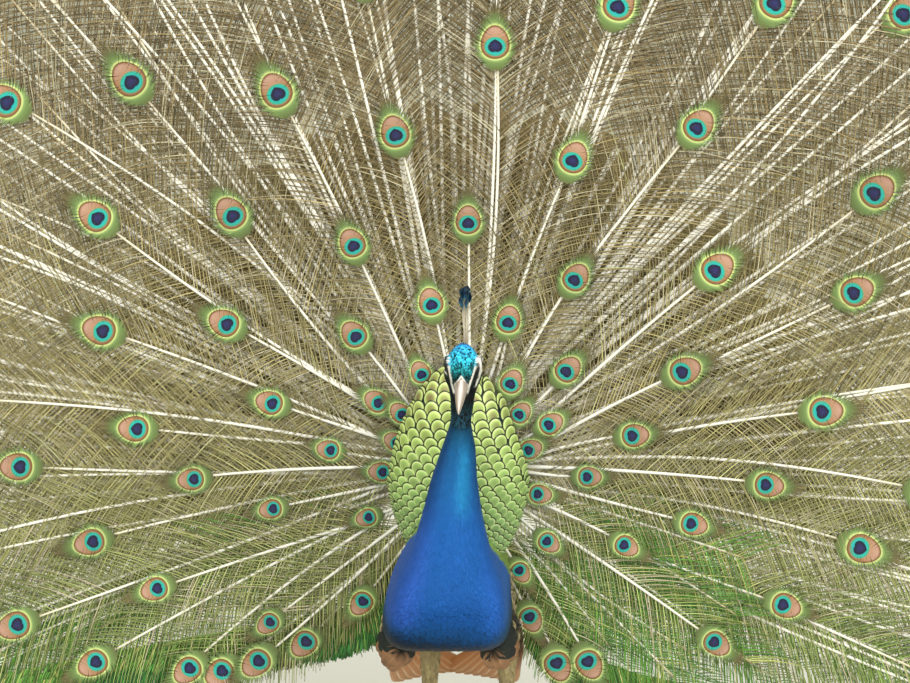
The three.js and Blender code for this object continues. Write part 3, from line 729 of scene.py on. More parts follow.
def scale_material():
    """The back's scale feathers: green-gold gloss with a pale inner rim, a thin dark velvet edge and a bronze
    middle as strong as the tone attribute. The map holds the blade's true shape across and along."""
    material, tree, body = new_material("gold_green_scale", Roughness=0.42, Metallic=0.15, Sheen_Weight=0.1)
    vane = add_node(tree, "UVMap", uv_map="vane")
    away = distance(tree, vane.outputs[0], (2.0, 1.667, 0.0), (-1.0, -0.667, 0.0))
    share = maths(tree, "MULTIPLY", remap(tree, away, 0.30, 0.62, 1.0, 0.0), attribute(tree, "tone", "Fac"))
    bronzed = mixed(tree, share, attribute(tree, "marks"), linear("a07a58"))
    glow = ramp(tree, away, [(0.0, 0.6), (0.45, 0.74), (0.68, 0.88), (0.78, 1.0)])
    lit = mixed(tree, 1.0, bronzed, glow, blend_type="MULTIPLY")
    inner = mixed(tree, remap(tree, away, 0.56, 0.72, 0.0, 0.6), lit, linear("e4efa8"))
    rim = remap(tree, away, 0.80, 0.87, kind="SMOOTHSTEP")
    feed(tree, body, mixed(tree, rim, inner, linear("1c2a0c")))
    return material


def leg_material():
    """Scaled leg skin: rows of scutes 5 mm tall down the front, drawn by the map, with grey-brown wear."""
    material, tree, body = new_material("scaled_leg_skin", Roughness=0.55)
    place = add_node(tree, "UVMap", uv_map="vane")
    rows = add_node(tree, "VectorMath", {0: place.outputs[0], 1: (9.0, 34.0, 1.0)}, operation="MULTIPLY")
    cells = add_node(
        tree, "TexVoronoi", {"Vector": rows.outputs[0], "Scale": 1.0, "Randomness": 0.35},
        feature="DISTANCE_TO_EDGE",
    ).outputs["Distance"]
    colour = ramp(tree, cells, [(0.0, "968a60"), (0.12, "dccc98"), (0.5, "e8d8aa")])
    feed(tree, body, colour, cells, 0.6, 0.0006)
    return material


# ---- Skin, head and coat ---------------------------------
def coat_depth(s):
    """The coat's depth over the skin at a station: thin on the face, deep on the trunk."""
    return np.interp(s, *COAT)


def under_coat(s, turn):
    """The body's surface at the roots of its coat."""
    return body_point(s, turn, coat_depth(s))


def body_places(count, seed, start, end):
    """Well-spread places on the body between two stations, as stations, angles and shares of the girth."""
    share, girth = even_places(count, seed)
    s = even_stations(share, start, end)
    return s, even_turns(s, girth), girth


def shaped_skin(s, turn):
    """The body inside its coat. Round each eye the skin is carved: a socket that passes under the eyeball,
    then a low swelling round the lids."""
    point = under_coat(s, turn)
    f, u, out = head_axes(point)
    ring = eye_distance(f, u)
    eyeball = EYE_ASIDE + np.sqrt(np.clip(EYE_RADIUS**2 - ring**2, 0, None))
    lids = 17.4 + 1.9 * np.exp(-(((ring - 6.4) / 1.5) ** 2))
    socket = np.where(ring < 4.9, eyeball - 1.6, np.maximum(out, lids))
    near = soft(-ring, -9.5, -7.5) * (out > 9) * (s < 7)
    point[..., 0] = HEAD_X + np.sign(point[..., 0] - HEAD_X) * (out + (socket - out) * near)
    return point


def capped(rings):
    """Rings shaped (rows, columns, 3) as a closed skin, with a pole at each end."""
    ends = [np.repeat(rings[k].mean(0)[None, None], rings.shape[1], 1) for k in (0, -1)]
    return np.concatenate([ends[0], rings, ends[1]])[None]


def pad_point(s, turn, side, inset):
    """The folded wing's pad: upright ovals from the shoulder (row 0) to the rear (row 7)."""
    rows = np.array([
        [-88, 0, 264, 5, 4, 48], [-70, 0, 260, 14, 11, 52], [-38, 1, 258, 20, 15, 55],
        [0, 1, 260, 26, 16, 56], [42, 4, 266, 34, 15, 56], [84, 8, 276, 34, 12, 54],
        [112, 12, 282, 18, 6, 54], [124, 14, 286, 5, 3, 52],
    ])
    row = along(rows, s)
    thick, high = np.maximum(row[..., 4] - inset, 0.8), np.maximum(row[..., 3] - inset, 0.8)
    x = row[..., 1] + side * (row[..., 5] + thick * np.cos(turn))
    return stacked(x, row[..., 0], row[..., 2] + high * np.sin(turn))


def thigh_stops(side):
    """The thigh's middles and radii, from inside the trunk to the hock."""
    x = HOCK[0] + side * LEG_SPREAD
    return np.array([
        [x - 15 - 7 * side, -8, 292, 27 - 3 * side], [x - 5.5 - 2.5 * side, 6, 264, 20], [x, 18, 238, 13.5],
        [x, 30, 212, 11.5], [x, 40, 188, 9.8], [x, 45, 168, 7.6],
    ])


def thigh_point(s, turn, side, inset):
    """The thigh: rings across the line through its stops, level enough to stay flat."""
    row = along(thigh_stops(side), s)
    radius = np.maximum(row[..., 3] - inset, 1.5)
    tilt = np.array([0.0, 0.86, 0.42])
    ring = np.cos(turn)[..., None] * np.array([1.0, 0, 0]) + np.sin(turn)[..., None] * tilt
    return row[..., :3] + ring * radius[..., None]


def rump_point(s, turn, inset):
    """The rump and vent: a round form turned about a level axis, from its front face (0) to its rear (9)."""
    rows = np.array([
        [0, 62], [34, 66], [54, 76], [63.5, 88], [63.5, 136],
        [59, 154], [49, 168], [34, 178], [16, 183], [0, 184],
    ])
    row = along(rows, s)
    radius = np.maximum(row[..., 0] - inset, 0.4)
    y = row[..., 1] - inset * (row[..., 1] > 120)
    return stacked(FAN_X + radius * np.cos(turn), y, FAN_Z + radius * np.sin(turn))


def joined_skin(name, shells, material, replaces):
    """One closed skin from closed shells that pass through each other: each is united with the first (an
    exact boolean), then the markings are laid on its points."""
    objects = [
        piece(f"{name}_shell_{k}", [part(s, closed=True)], material, weld=True) for k, s in enumerate(shells)
    ]
    skin = objects[0]
    for shell in objects:
        work = bmesh.new()
        work.from_mesh(shell.data)
        bmesh.ops.recalc_face_normals(work, faces=work.faces)
        work.to_mesh(shell.data)
        work.free()
    for shell in objects[1:]:
        union = skin.modifiers.new("unite", "BOOLEAN")
        union.operation, union.solver, union.object = "UNION", "EXACT", shell
    bpy.context.view_layer.update()
    whole = bpy.data.meshes.new_from_object(skin.evaluated_get(bpy.context.evaluated_depsgraph_get()))
    if len(whole.polygons) < 1000:
        raise RuntimeError("The skin's shells did not unite")
    for shell in objects:
        bpy.data.objects.remove(shell)
    whole.name = name
    points = np.empty(len(whole.vertices) * 3)
    whole.vertices.foreach_get("co", points)
    points = points.reshape(-1, 3) / MM - SHIFT
    marks = np.hstack([plumage(points), np.ones((len(points), 1))])
    whole.attributes.new("marks", "FLOAT_COLOR", "POINT").data.foreach_set("color", marks.ravel())
    whole.polygons.foreach_set("use_smooth", np.ones(len(whole.polygons), bool))
    made = bpy.data.objects.new(name, whole)
    bpy.context.scene.collection.objects.link(made)
    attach(made, "root")
    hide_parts(*replaces)
    return made


def plumes(surface, u, v, bake, length, width, seed, colour=plumage, lift=7.0, curl=0.0, lean=7.0, keep=None,
           dish=0.3, outline=ROUND_TIP, base=0.6, spread=0.14, bars=None, ruffle=3.0):
    """Blades on a surface, each lying along growing u, turned aside by about lean degrees and lifted by about
    ruffle more or less at random. Colour comes from the root's place, darker towards the root, and bars gives
    a colour for each row of the blade instead."""
    source = SOURCE(seed)
    at, lie, out = lie_on(surface, u, v)
    out = out * np.sign(np.sum(out * (at - surface(u, v + np.pi)), -1, keepdims=True))
    angle = np.radians(source.normal(0, lean, len(u)))[:, None]
    lie = lie * np.cos(angle) + np.cross(out, lie) * np.sin(angle)
    size = source.uniform(0.86, 1.16, len(u))
    tone = source.normal(1, spread, len(u)).clip(0.12, 2.2)
    length, width, lift, curl = (
        np.broadcast_to(x, len(u)).astype(float) for x in (length, width, lift, curl)
    )
    mask = np.ones(len(u), bool) if keep is None else keep(at, out)
    bake_u, bake_v = bake
    at, lie, out, size, tone, length, width, lift, curl, bake_u, bake_v = (
        x[mask] for x in (at, lie, out, size, tone, length, width, lift, curl, bake_u, bake_v)
    )
    lift = lift + source.normal(0, ruffle, len(at))
    points, vane = blades(at, lie, out, length * size, width * size, lift, curl, dish, outline)
    t = np.linspace(0, 1, len(outline))[None, :, None]
    shade = tone[:, None, None] * (base + (1 - base) * np.minimum(t * 1.8, 1))
    marks = colour(at)[:, None, None] if bars is None else bars[None, :, None]
    return part(
        points, maps={"vane": vane, "OFBake": root_patch(bake_u, bake_v, vane)},
        values={"marks": marks, "tone": shade + 0 * points[..., 0]},
    )


def eye_ball(side):
    """The eye: a sphere with a clear bulge over its iris, looking outwards and a little forward. The map's
    second value runs from the pupil's middle (0) to the back (1)."""
    pole = unit(np.array([side * 0.93, -0.34, 0.08]))
    a = unit(np.cross(pole, [0, 0, 1.0]))
    b = np.cross(a, pole)
    polar = np.linspace(0, np.pi, 41)[:, None]
    turn = np.linspace(0, 2 * np.pi, 48, endpoint=False)[None]
    radius = EYE_RADIUS + 0.45 * np.exp(-((polar / 0.52) ** 4))
    ring = np.sin(polar)[..., None] * (np.cos(turn)[..., None] * a + np.sin(turn)[..., None] * b)
    away = np.cos(polar)[..., None] * pole + ring
    points = [HEAD_X + side * EYE_ASIDE, *EYE_PLACE[1:]] + radius[..., None] * away
    middle = stacked(turn / (2 * np.pi), polar / np.pi)
    return part(points[None], closed=True, maps={"vane": middle[None]})


def lid_ring(side):
    """The lids: a round cord of skin along an almond on the eyeball, thicker above."""
    turn = np.linspace(0, 2 * np.pi, 64, endpoint=False)
    almond_f = 5.2 * np.cos(turn)
    almond_u = 4.4 * np.sin(turn) * (0.86 + 0.14 * np.abs(np.sin(turn)))
    depth = EYE_ASIDE + np.sqrt(np.clip(EYE_RADIUS**2 - almond_f**2 - almond_u**2, 1, None))
    yz = EYE_PLACE[1:] + almond_f[:, None] * BILL_WAY + almond_u[:, None] * BILL_UP
    middle = stacked(HEAD_X + side * (depth + 0.1), yz[:, 0], yz[:, 1])
    way = unit(np.roll(middle, -1, 0) - np.roll(middle, 1, 0))
    out = unit(middle - [HEAD_X + side * EYE_ASIDE, *EYE_PLACE[1:]])
    cross = np.cross(way, out)
    round_ = np.linspace(0, 2 * np.pi, 12, endpoint=False)
    thick = (0.85 + 0.3 * np.sin(turn).clip(0))[:, None, None]
    level = np.cos(round_)[None, :, None] * cross[:, None] * 1.15
    points = middle[:, None] + thick * (level + np.sin(round_)[None, :, None] * out[:, None] * 0.75)
    points = np.concatenate([points, points[:1]])
    vane = stacked(round_[None] / FULL_TURN, np.linspace(0, 1, 65)[:, None])
    return part(points[None], closed=True, flip=side > 0, maps={"vane": vane[None]})


def bill_half(rows, upper):
    """Half a bill: half-ovals above or below the closing line, carried along it. Near the upper one's root a
    nostril slit is pressed in on each side, under a low soft cere, and its root narrows upwards to a peak."""
    s = np.linspace(0, len(rows) - 1, 60)[:, None]
    turn = np.linspace(0, np.pi, 33)[None]
    row = along(rows, s)
    y, z, half, deep = (row[..., k] for k in range(4))
    rise = deep * np.sin(turn) ** (0.9 if upper else 1.0)
    wide = half * np.cos(turn)
    if upper:
        cere = 0.7 * np.exp(-(((s - 0.9) / 0.8) ** 2)) * np.sin(turn)
        wide = wide * (1 - np.interp(s, (0, 0.8, 1.6), (0.72, 0.4, 0.0)) * np.sin(turn))
        slit = np.exp(-(((s - 1.35) / 0.42) ** 2) - (((np.abs(turn - np.pi / 2) - 0.82) / 0.17) ** 2))
        rise = rise + cere - 1.5 * slit
        wide = wide * (1 - 0.16 * slit)
        rise = rise + 0.35 * np.exp(-(((turn - np.pi / 2) / 0.3) ** 2)) * soft(s, 1.5, 2.5)
    away_y, away_z = (-0.62, 0.785) if upper else (0.62, -0.785)  # across the closing line
    gap = 0.15  # half the gap at the closing line
    middle = 11 + (y + 159) * 4 / 38  # the bill runs from x = 15 at its root towards the bird's right
    x = middle + wide
    y = y + away_y * (rise + gap)
    z = z + away_z * (rise + gap)
    top = stacked(x, y, z)
    floor_turn = np.linspace(np.pi, 0, 9)[None]
    floor = stacked(
        middle + half * np.cos(floor_turn), row[..., 0] + away_y * gap, row[..., 1] + away_z * gap
    )
    ring = np.concatenate([top, floor[:, 1:-1]], 1)
    around, run = np.linspace(0, 1, ring.shape[1])[None], np.linspace(0, 1, 62)[:, None]
    vane = stacked(around, run)
    return part(capped(ring), closed=True, flip=not upper, maps={"vane": vane[None]})


# ---- Train -----------------------------------------------
def ladder():
    """The long feathers: each one's eyespot place (x, z), ring number and shaft heading. The nearer ones
    stand at their own places. Beyond them rays leave the root by a ladder of headings, even rays bear the odd
    rings and odd rays the even ones, so that the eyespots stand in five-spots."""
    rays = np.arange(-11, 12)
    step = np.abs(rays)
    near, far = np.minimum(step, 5.7), np.maximum(step - 5.7, 0)
    heading = np.where(rays > 0, 87 - 14.8 * near - 10.8 * far, 87 + 14.0 * near + 9.2 * far)
    found = []
    for ring, spots in enumerate(NEAR_EYES):
        for degrees, reach in spots:
            way = np.cos(math.radians(degrees)), np.sin(math.radians(degrees))
            found.append((RAY_X + reach * way[0], RAY_Z + reach * way[1], ring, degrees))
    taken = np.array(found)[:, :2]
    for ray, degrees in zip(rays, heading):
        angle = math.radians(degrees)
        way = np.array([math.cos(angle), math.sin(angle)])
        limit = float(fan_reach(np.array(angle))) - 52
        for ring in range(3 + ray % 2, len(RINGS), 2):
            grown = 1 + TALLER * max(way[1], 0) ** 2 - LOPSIDED * way[0]
            from_b = np.array([RAY_X - RING_X, RAY_Z - RING_Z])
            b = from_b @ way
            reach = -b + math.sqrt(b * b - from_b @ from_b + (RINGS[ring] * grown) ** 2)
            place = np.array([RAY_X, RAY_Z]) + reach * way
            if reach < limit - 40 and np.linalg.norm(taken - place, axis=1).min() > 72:
                found.append((*place, ring, degrees))
    return np.array(found)


def rim_eyes():
    """The rim's eyespots, two staggered rows of them, as places, ring numbers and headings."""
    heading = np.concatenate([np.arange(-20.5, 201, 7.3), np.arange(-17, 198, 7.3)])
    row = np.concatenate([np.zeros(31), np.ones(30)])[: len(heading)]
    source = SOURCE(5)
    angle = np.radians(heading + source.normal(0, 0.8, len(heading)))
    reach = fan_reach(angle) - 58 - 68 * row + source.normal(0, 7, len(heading))
    return np.column_stack([fan_place(angle, reach), RIM + 0 * row, heading])


def shaft_lines(tips, forward, seed, start=52.0, past=0.0, astray=18.0):
    """Shafts over the dish from the fan's root to their tips (x, z), bowed a little aside, as points shaped
    (count, SHAFT_ROWS, 3). forward lifts each off the dish, past lengthens it beyond its tip, and astray
    moves its root aside."""
    source = SOURCE(seed)
    tips = np.asarray(tips, float)
    middle = np.array([RAY_X, RAY_Z])
    way = unit(tips - middle)
    far = np.minimum(np.linalg.norm(tips - middle, axis=1) / 400, 1)[:, None]
    aside = source.uniform(-astray, astray, (len(tips), 1)) * far
    root = middle + way * start + stacked(-way[:, 1], way[:, 0]) * aside
    end = tips + way * np.reshape(past, (-1, 1))
    bow = source.normal(0, 0.018, len(tips)) * np.linalg.norm(end - root, axis=-1)
    t = np.linspace(0, 1, SHAFT_ROWS)[None, :, None]
    flat = root[:, None] + (end - root)[:, None] * t
    flat = flat + stacked(-way[:, 1], way[:, 0])[:, None] * (np.sin(np.pi * t) * bow[:, None, None])
    y = fan_depth(flat[..., 0], flat[..., 1], np.reshape(forward, (-1, 1)))
    return stacked(flat[..., 0], y, flat[..., 1])


def line_frames(lines):
    """Along each line: its way, the dish's front normal, and the side on its left, seen from the front."""
    way = unit(np.gradient(lines, axis=1))
    x, z = lines[..., 0], lines[..., 2]
    normal = unit(stacked(-2 * CUP_SIDE * (x - FAN_X), -1.0, -2 * CUP_TOP * (z - FAN_Z)))
    return way, normal, unit(np.cross(normal, way))


def read_lines(lines, pick, share):
    """Points at shares of the lines picked from lines (count, rows, 3): linear between rows."""
    rows = lines.shape[1]
    place = np.clip(share, 0, 1) * (rows - 1)
    low = np.minimum(place.astype(int), rows - 2)
    rest = (place - low)[:, None]
    return lines[pick, low] * (1 - rest) + lines[pick, low + 1] * rest


def pressed(points, discs):
    """Points pressed behind discs, rows of x, y, z and radius, where they would cross in front of them."""
    flat = points.reshape(-1, 3).copy()
    for x, y, z, radius in discs:
        near = np.flatnonzero((np.abs(flat[:, 0] - x) < radius) & (np.abs(flat[:, 2] - z) < radius))
        inside = near[(flat[near, 0] - x) ** 2 + (flat[near, 2] - z) ** 2 < radius**2]
        flat[inside, 1] = np.maximum(flat[inside, 1], y + 1.5)
    return flat.reshape(points.shape)


def loose_barbs(lines, first, last, spacing, length, seed, colour, width=1.3, leave=47.0, droop=0.45, rows=7,
                sides=(-1, 1), lift=5.0, untidy=1.0, under=None):
    """Loose barbs on both sides of shafts, every spacing mm between the shares first and last. A barb leaves
    along d, at the leave angle from the shaft, and hangs under its weight: at share u of its length L it is
    L(d u + droop g u^2 / 2) from its root, where g is the part of straight down that stands across d. It
    rises by lift, and its strip narrows to its tip."""
    source = SOURCE(seed)
    span = np.linalg.norm(np.diff(lines, axis=1), axis=-1).sum(1)
    count = np.maximum(((last - first) * span / spacing).astype(int), 1)
    pick = np.repeat(np.arange(len(lines)), count * len(sides))
    order = np.concatenate([np.repeat(np.arange(c), len(sides)) for c in count])
    side = np.tile(np.array(sides, float), int(count.sum()))
    total = np.broadcast_to(count, len(lines))[pick]
    first, last = (np.broadcast_to(x, len(lines))[pick] for x in (first, last))
    loose = 0.18 * untidy
    share = first + (last - first) * (order + source.uniform(0.5 - loose, 0.5 + loose, len(order))) / total
    way, normal, across = line_frames(lines)
    root = read_lines(lines, pick, share)
    way, normal, across = (unit(read_lines(v, pick, share)) for v in (way, normal, across))
    size = length(share, pick) * source.uniform(1 - 0.08 * untidy, 1 + 0.08 * untidy, len(pick))
    turned = source.normal(0, 3.0, len(lines))[pick] + source.normal(0, 1.3 * untidy, len(pick))
    leave = np.radians(leave + turned)[:, None]
    start = across * side[:, None] * np.sin(leave) + way * np.cos(leave)
    down = np.array([0.0, 0.0, -1.0])
    hang = down - start * (start @ down)[:, None]
    hang = hang * (droop * source.uniform(1 - 0.2 * untidy, 1 + 0.2 * untidy, len(pick)))[:, None]
    u = np.linspace(0, 1, rows)[None, :, None]
    rise = lift * source.uniform(-0.3, 1.0, len(pick))[:, None, None] * u
    run = start[:, None] * u + hang[:, None] * u**2 / 2
    middle = root[:, None] + size[:, None, None] * run + normal[:, None] * rise
    direction = unit(np.gradient(middle, axis=1))
    roll = source.normal(0, 0.2, len(pick))[:, None, None]
    flat = unit(np.cross(normal[:, None], direction)) * np.cos(roll) + normal[:, None] * np.sin(roll)
    half = width / 2 * (1 - 0.5 * u**1.5)
    points = np.stack([middle - flat * half, middle + flat * half], 2)
    if under is not None:
        points = pressed(points, under)
    marks = colour(root, share, source)
    v = np.broadcast_to(np.linspace(0, 1, rows)[None, :, None], points.shape[:3])
    edge = np.broadcast_to(np.array([0.0, 1.0])[None, None], points.shape[:3])
    vane = stacked(edge, v)
    return part(
        points, maps={"vane": vane, "OFBake": root_patch((root[:, 0] + 950) / 1900, root[:, 2] / 1560, vane)},
        values={"marks": marks[:, None, None]},
    )


def bronze(root, share, source):
    """Loose barbs' colours: brown at the top, olive at the sides, green low down, and one in eight a painted
    highlight in pale gold, standing in for glints off the barbs.
    """
    z = root[:, 2] - 0.10 * np.abs(root[:, 0])
    shades = ("62983e", "a4ba66", "bcc47a", "c8bc80", "a28e62", "77623f")
    colour = blend_of(shades, (110, 190, 270, 430, 760, 1300), z)
    tone = np.exp(source.normal(0, 0.32, len(z)))
    colour = colour * tone[:, None]
    # Painted highlights: one barb in eight is pale gold, for glints of light off the barbs.
    gold = source.uniform(0, 1, len(z)) < 0.13
    return np.where(gold[:, None], rgb("e9dcb4"), colour).clip(0, 0.9)


def dappled(source, count, spread, plain, chance, bright):
    """Colours of count barbs: plain, by chance bright, each one lighter or darker by about the spread."""
    tone = np.exp(source.normal(0, spread, count))[:, None]
    chosen = source.uniform(0, 1, count) < chance
    return (np.where(chosen[:, None], rgb(bright), rgb(plain)) * tone).clip(0, 0.9)


def green_gold(root, share, source):
    """The fringes' colours: vivid green, every fourth yellow-green."""
    return dappled(source, len(root), 0.3, "6fae42", 0.25, "c2d46e")


def deep_green(root, share, source):
    """The hem's colours: deep green, one in six lighter."""
    return dappled(source, len(root), 0.35, "3f9038", 0.16, "8fc05a")


def eyespot_vanes(tips, ways, sides, normals, size, tone, strips=40, rows=8):
    """Eyespot vanes from barbs laid side by side. Barb q leaves the shaft at S = -30 + 58q, bends over the
    point X/2, S + 0.12(Y - S) and ends on the outline X = 23 sin(pi q^0.72)^0.75, Y = -32 + 80q, a little
    longer or shorter at random, all times the size. Neighbours touch for two thirds of their length, then
    part into a fringe."""
    source = SOURCE(77)
    q0 = (np.arange(strips) + 0.5) / strips
    u = np.linspace(0, 1, rows)
    part_at = 0.5 / strips * (1 - 0.75 * soft(u, 0.68, 1.0))
    q = np.clip(q0[:, None, None] + part_at[None, :, None] * np.array([-1, 1]), 0.002, 0.998)
    u = u[None, :, None]
    ragged = 1 + source.uniform(-0.10, 0.16, (strips, 1, 1))
    shaft_y = -30 + 58 * q
    x = 23 * np.sin(np.pi * q**0.72) ** 0.75 * ragged
    y = -32 + 80 * q * (0.9 + 0.1 * ragged)
    bend_x, bend_y = 0.5 * x, shaft_y + 0.12 * (y - shaft_y)
    px = 2 * u * (1 - u) * bend_x + u * u * x
    py = (1 - u) ** 2 * shaft_y + 2 * u * (1 - u) * bend_y + u * u * y
    flat = stacked(np.concatenate([px, -px[..., ::-1]]), np.concatenate([py, py[..., ::-1]]))
    count, cells = len(tips), math.ceil(math.sqrt(len(tips)))
    local = flat[None] * size[:, None, None, None, None]
    rise = -2.2 * np.abs(flat[..., 0] / 27) ** 2 + 1.6
    points = (
        tips[:, None, None, None] + sides[:, None, None, None] * local[..., :1]
        + ways[:, None, None, None] * local[..., 1:] + normals[:, None, None, None] * rise[None, ..., None]
    )
    cell = stacked(np.arange(count) % cells, np.arange(count) // cells)[:, None, None, None]
    in_cell = stacked(flat[..., 0] / 70 + 0.5, (flat[..., 1] + 38) / 92)[None]
    on_map = (cell + 0.06 + 0.88 * in_cell) / cells
    spot = flat / EYESPOT_SPAN + 0.5
    shape = (count * strips * 2, rows, 2)
    outer = soft(np.linspace(0, 1, rows), 0.55, 0.8)[:, None]
    edge = 1 + source.normal(0, 0.22, (count, strips * 2, 1, 1)) * outer
    worn = np.broadcast_to(tone[:, None, None, None], (count, strips * 2, rows, 2)) * edge
    return part(
        points.reshape(*shape, 3),
        maps={"eyespot": np.broadcast_to(spot[None], (count, *spot.shape)).reshape(*shape, 2),
              "OFBake": on_map.reshape(*shape, 2)},
        values={"tone": worn.reshape(shape)},
    )


def quills(lines, thick, thin):
    """Shafts as tapered tubes of five sides, mapped by share, each on its own strip of the bake map."""
    count, rows = lines.shape[:2]
    share = np.linspace(0, 1, rows)
    radius = np.broadcast_to((thick + (thin - thick) * share) / 2, (count, rows))
    points = tubes(lines, radius, 5)
    t = np.concatenate([[0], share, [1]])[None, :, None]
    turn = np.linspace(0, 1, 5)[None, None]
    strip = (np.arange(count)[:, None, None] + 0.1 + 0.8 * turn + 0 * t) / count
    vane = stacked(turn, t)
    bake = stacked(strip, 0.02 + 0.96 * t)
    return part(points, closed=True, maps={"vane": vane, "OFBake": bake})


def vane_map(across, along_it, count):
    """The map of count vanes, from places across (-1 to 1) and along (0 to 1) them."""
    vane = stacked(across / 2 + 0.5, along_it)
    return np.broadcast_to(vane, (count, *vane.shape[1:]))


def strip_map(vane, low, tall):
    """Each vane's own strip of the bake map, from height low and as tall as told."""
    count = len(vane)
    across = (np.arange(count)[:, None, None] + 0.05 + 0.9 * vane[..., 0]) / count
    return stacked(across, low + tall * vane[..., 1])


# ---- What a user would change ----------------------------
class PeacockSizes(PropertyGroup):
    """Counts and sizes of the bird's plumage."""

    crown_feathers: IntProperty(
        name="Crown and face feathers", description="Feathers on the head", default=5200
    )
    neck_feathers: IntProperty(
        name="Neck feathers", description="Feathers from the nape to the breast", default=10500
    )
    trunk_feathers: IntProperty(
        name="Trunk feathers", description="Feathers from the breast to the vent", default=9000
    )
    barb_gap: FloatProperty(
        name="Barb gap", description="Distance between a train feather's loose barbs", default=0.0050,
        unit="LENGTH",
    )
    shaft_root: FloatProperty(
        name="Shaft at the root", description="Thickness of a long train feather's shaft", default=0.0050,
        unit="LENGTH",
    )
    camera_distance: FloatProperty(
        name="Camera distance", description="From the camera to the bird's middle", default=2.759,
        unit="LENGTH",
    )


class PeacockColours(PropertyGroup):
    """Colours of the stage, in linear light."""

    floor: FloatVectorProperty(
        name="Floor", description="The studio floor", subtype="COLOR", size=3, default=linear("dcdad5")[:3],
    )


# ---- Pieces ----------------------------------------------
class PEACOCK_OT_skin(Operator):
    """One closed skin for head, neck, trunk, thighs, folded wings, rump and back"""

    bl_idname = "peacock.skin"
    bl_label = "Skin"

    def execute(self, context):
        s = np.concatenate([np.linspace(0, 6.6, 180), np.linspace(6.7, 20, 95)])[:, None]
        round_ = np.linspace(0, 2 * np.pi, 160, endpoint=False)[None]
        shells = [capped(shaped_skin(s, round_))]
        turn = np.linspace(0, 2 * np.pi, 40, endpoint=False)[None]
        for side in (1, -1):
            shells.append(capped(thigh_point(np.linspace(0, 4.9, 28)[:, None], turn, side, 4.0)))
            shells.append(capped(pad_point(np.linspace(0.05, 6.95, 36)[:, None], turn, side, 4.0)))
        shells.append(capped(rump_point(np.linspace(0.2, 8.9, 30)[:, None], turn, 4.0)))
        lean = np.linspace(0.04, 0.97, 16)[:, None]
        x, z = 76 * lean * np.cos(turn), lean * np.sin(turn) * np.where(np.sin(turn) > 0, 120, 108)
        dome = dome_point(SHIELD_X + x, SHIELD_Z + z)[0] + [0, 3.0, 0]
        back = dome[-1:].copy()
        back[..., 1] = 84.0
        shells.append(capped(np.concatenate([dome, back])))
        joined_skin(
            "skin", shells, skin_material(),
            ["head", "neck_upper", "neck_lower", "trunk", "thigh_left", "thigh_right", "wing_left",
             "wing_right", "rump", "back_scales"],
        )
        return {"FINISHED"}


class PEACOCK_OT_head_coat(Operator):
    """Small feathers of crown and face: curled turquoise scales above, dense black ones through the eye"""

    bl_idname = "peacock.head_coat"
    bl_label = "Head feathers"

    def execute(self, context):
        count = context.scene.peacock_sizes.crown_feathers
        share, turn = even_places(count)
        s, turn = even_stations(share, 0.35, 7.6), turn * 2 * np.pi
        place = body_point(s, turn)
        f, u = head_axes(place)[:2]
        off, half = face_marks(place)[1:]
        crown = soft(half - off, 0, 3) * soft(u, -8, -2) * soft(f, -16, -6)
        length = 2.4 + 1.3 * crown + 4.4 * soft(s, 5.6, 7.4)
        width = 1.7 + 1.2 * crown + 2.2 * soft(s, 5.6, 7.4)

        def keep(at, out):
            f, u = head_axes(at)[:2]
            back = np.array([0.0, 0.766, 0.642])
            bare = np.max([bare_skin(at + back * step) for step in (0.0, 1.1, 2.2)], axis=0) > 0.3
            eye = eye_distance(f, u) < 7.2
            bill = (f > 25) & (np.abs(u + 9) < 9)
            return ~(bare | eye | bill)

        made = plumes(
            under_coat, s, turn, (turn / (2 * np.pi), s / 20), length, width, 11,
            lift=9 + 14 * crown, curl=0.2 * crown, keep=keep, dish=0.4, base=0.14, spread=0.75,
        )
        material = plume_material(
            "turquoise_crown_plumes", 0.42, 0.3, 0.1, "9ff5ff", barbs=4, streak=0.2, gloss=0.2
        )
        piece("head_feathers", [made], material)
        return {"FINISHED"}


class PEACOCK_OT_neck_coat(Operator):
    """Royal-blue hackles from the nape to the breast"""

    bl_idname = "peacock.neck_coat"
    bl_label = "Neck feathers"

    def execute(self, context):
        count = context.scene.peacock_sizes.neck_feathers
        s, turn, girth = body_places(count, 0.31, 6.9, 12.8)
        length = np.interp(s, (7, 8.5, 12.8), (7.5, 9.0, 11.5))
        width = np.interp(s, (7, 8.5, 12.8), (4.0, 4.4, 5.6))
        made = plumes(
            under_coat, s, turn, (girth, s / 20), length, width, 12,
            lift=4.0, curl=0.05, base=0.8, spread=0.035, lean=4.0, dish=0.12, ruffle=1.2,
        )
        piece("neck_feathers", [made], hackle_material("royal_blue_hackles"))
        return {"FINISHED"}


class PEACOCK_OT_trunk_coat(Operator):
    """Breast, belly and flank feathers, dark green to black below"""

    bl_idname = "peacock.trunk_coat"
    bl_label = "Trunk feathers"

    def execute(self, context):
        count = context.scene.peacock_sizes.trunk_feathers
        s, turn, girth = body_places(count, 0.77, 12.6, 19.8)
        length = np.interp(s, (12.6, 15, 20), (11.0, 12.5, 24))
        width = np.interp(s, (12.6, 15, 20), (5.6, 6.8, 12.5))

        def keep(at, out):
            return (dome_point(at[:, 0], at[:, 2])[1] > 0.96) | (at[:, 1] < 10)

        made = plumes(
            under_coat, s, turn, (girth, s / 20), length, width, 13, keep=keep,
            lift=2.6, base=0.88, spread=0.03, lean=4.0, dish=0.1, ruffle=0.7,
        )
        piece("trunk_feathers", [made], hackle_material("dark_belly_plumes"))
        return {"FINISHED"}


def thigh_colour(points):
    """Thighs: blackish at the top of the front, buff behind and below."""
    y, z = points[:, 1], points[:, 2]
    tint = blend_of(("a2926a", "aa9a70", "8e7c54", "1c1a1a"), (160, 215, 252, 276), z)
    return mix(tint, rgb("9a8868"), soft(y, 20, 60) * 0.5)


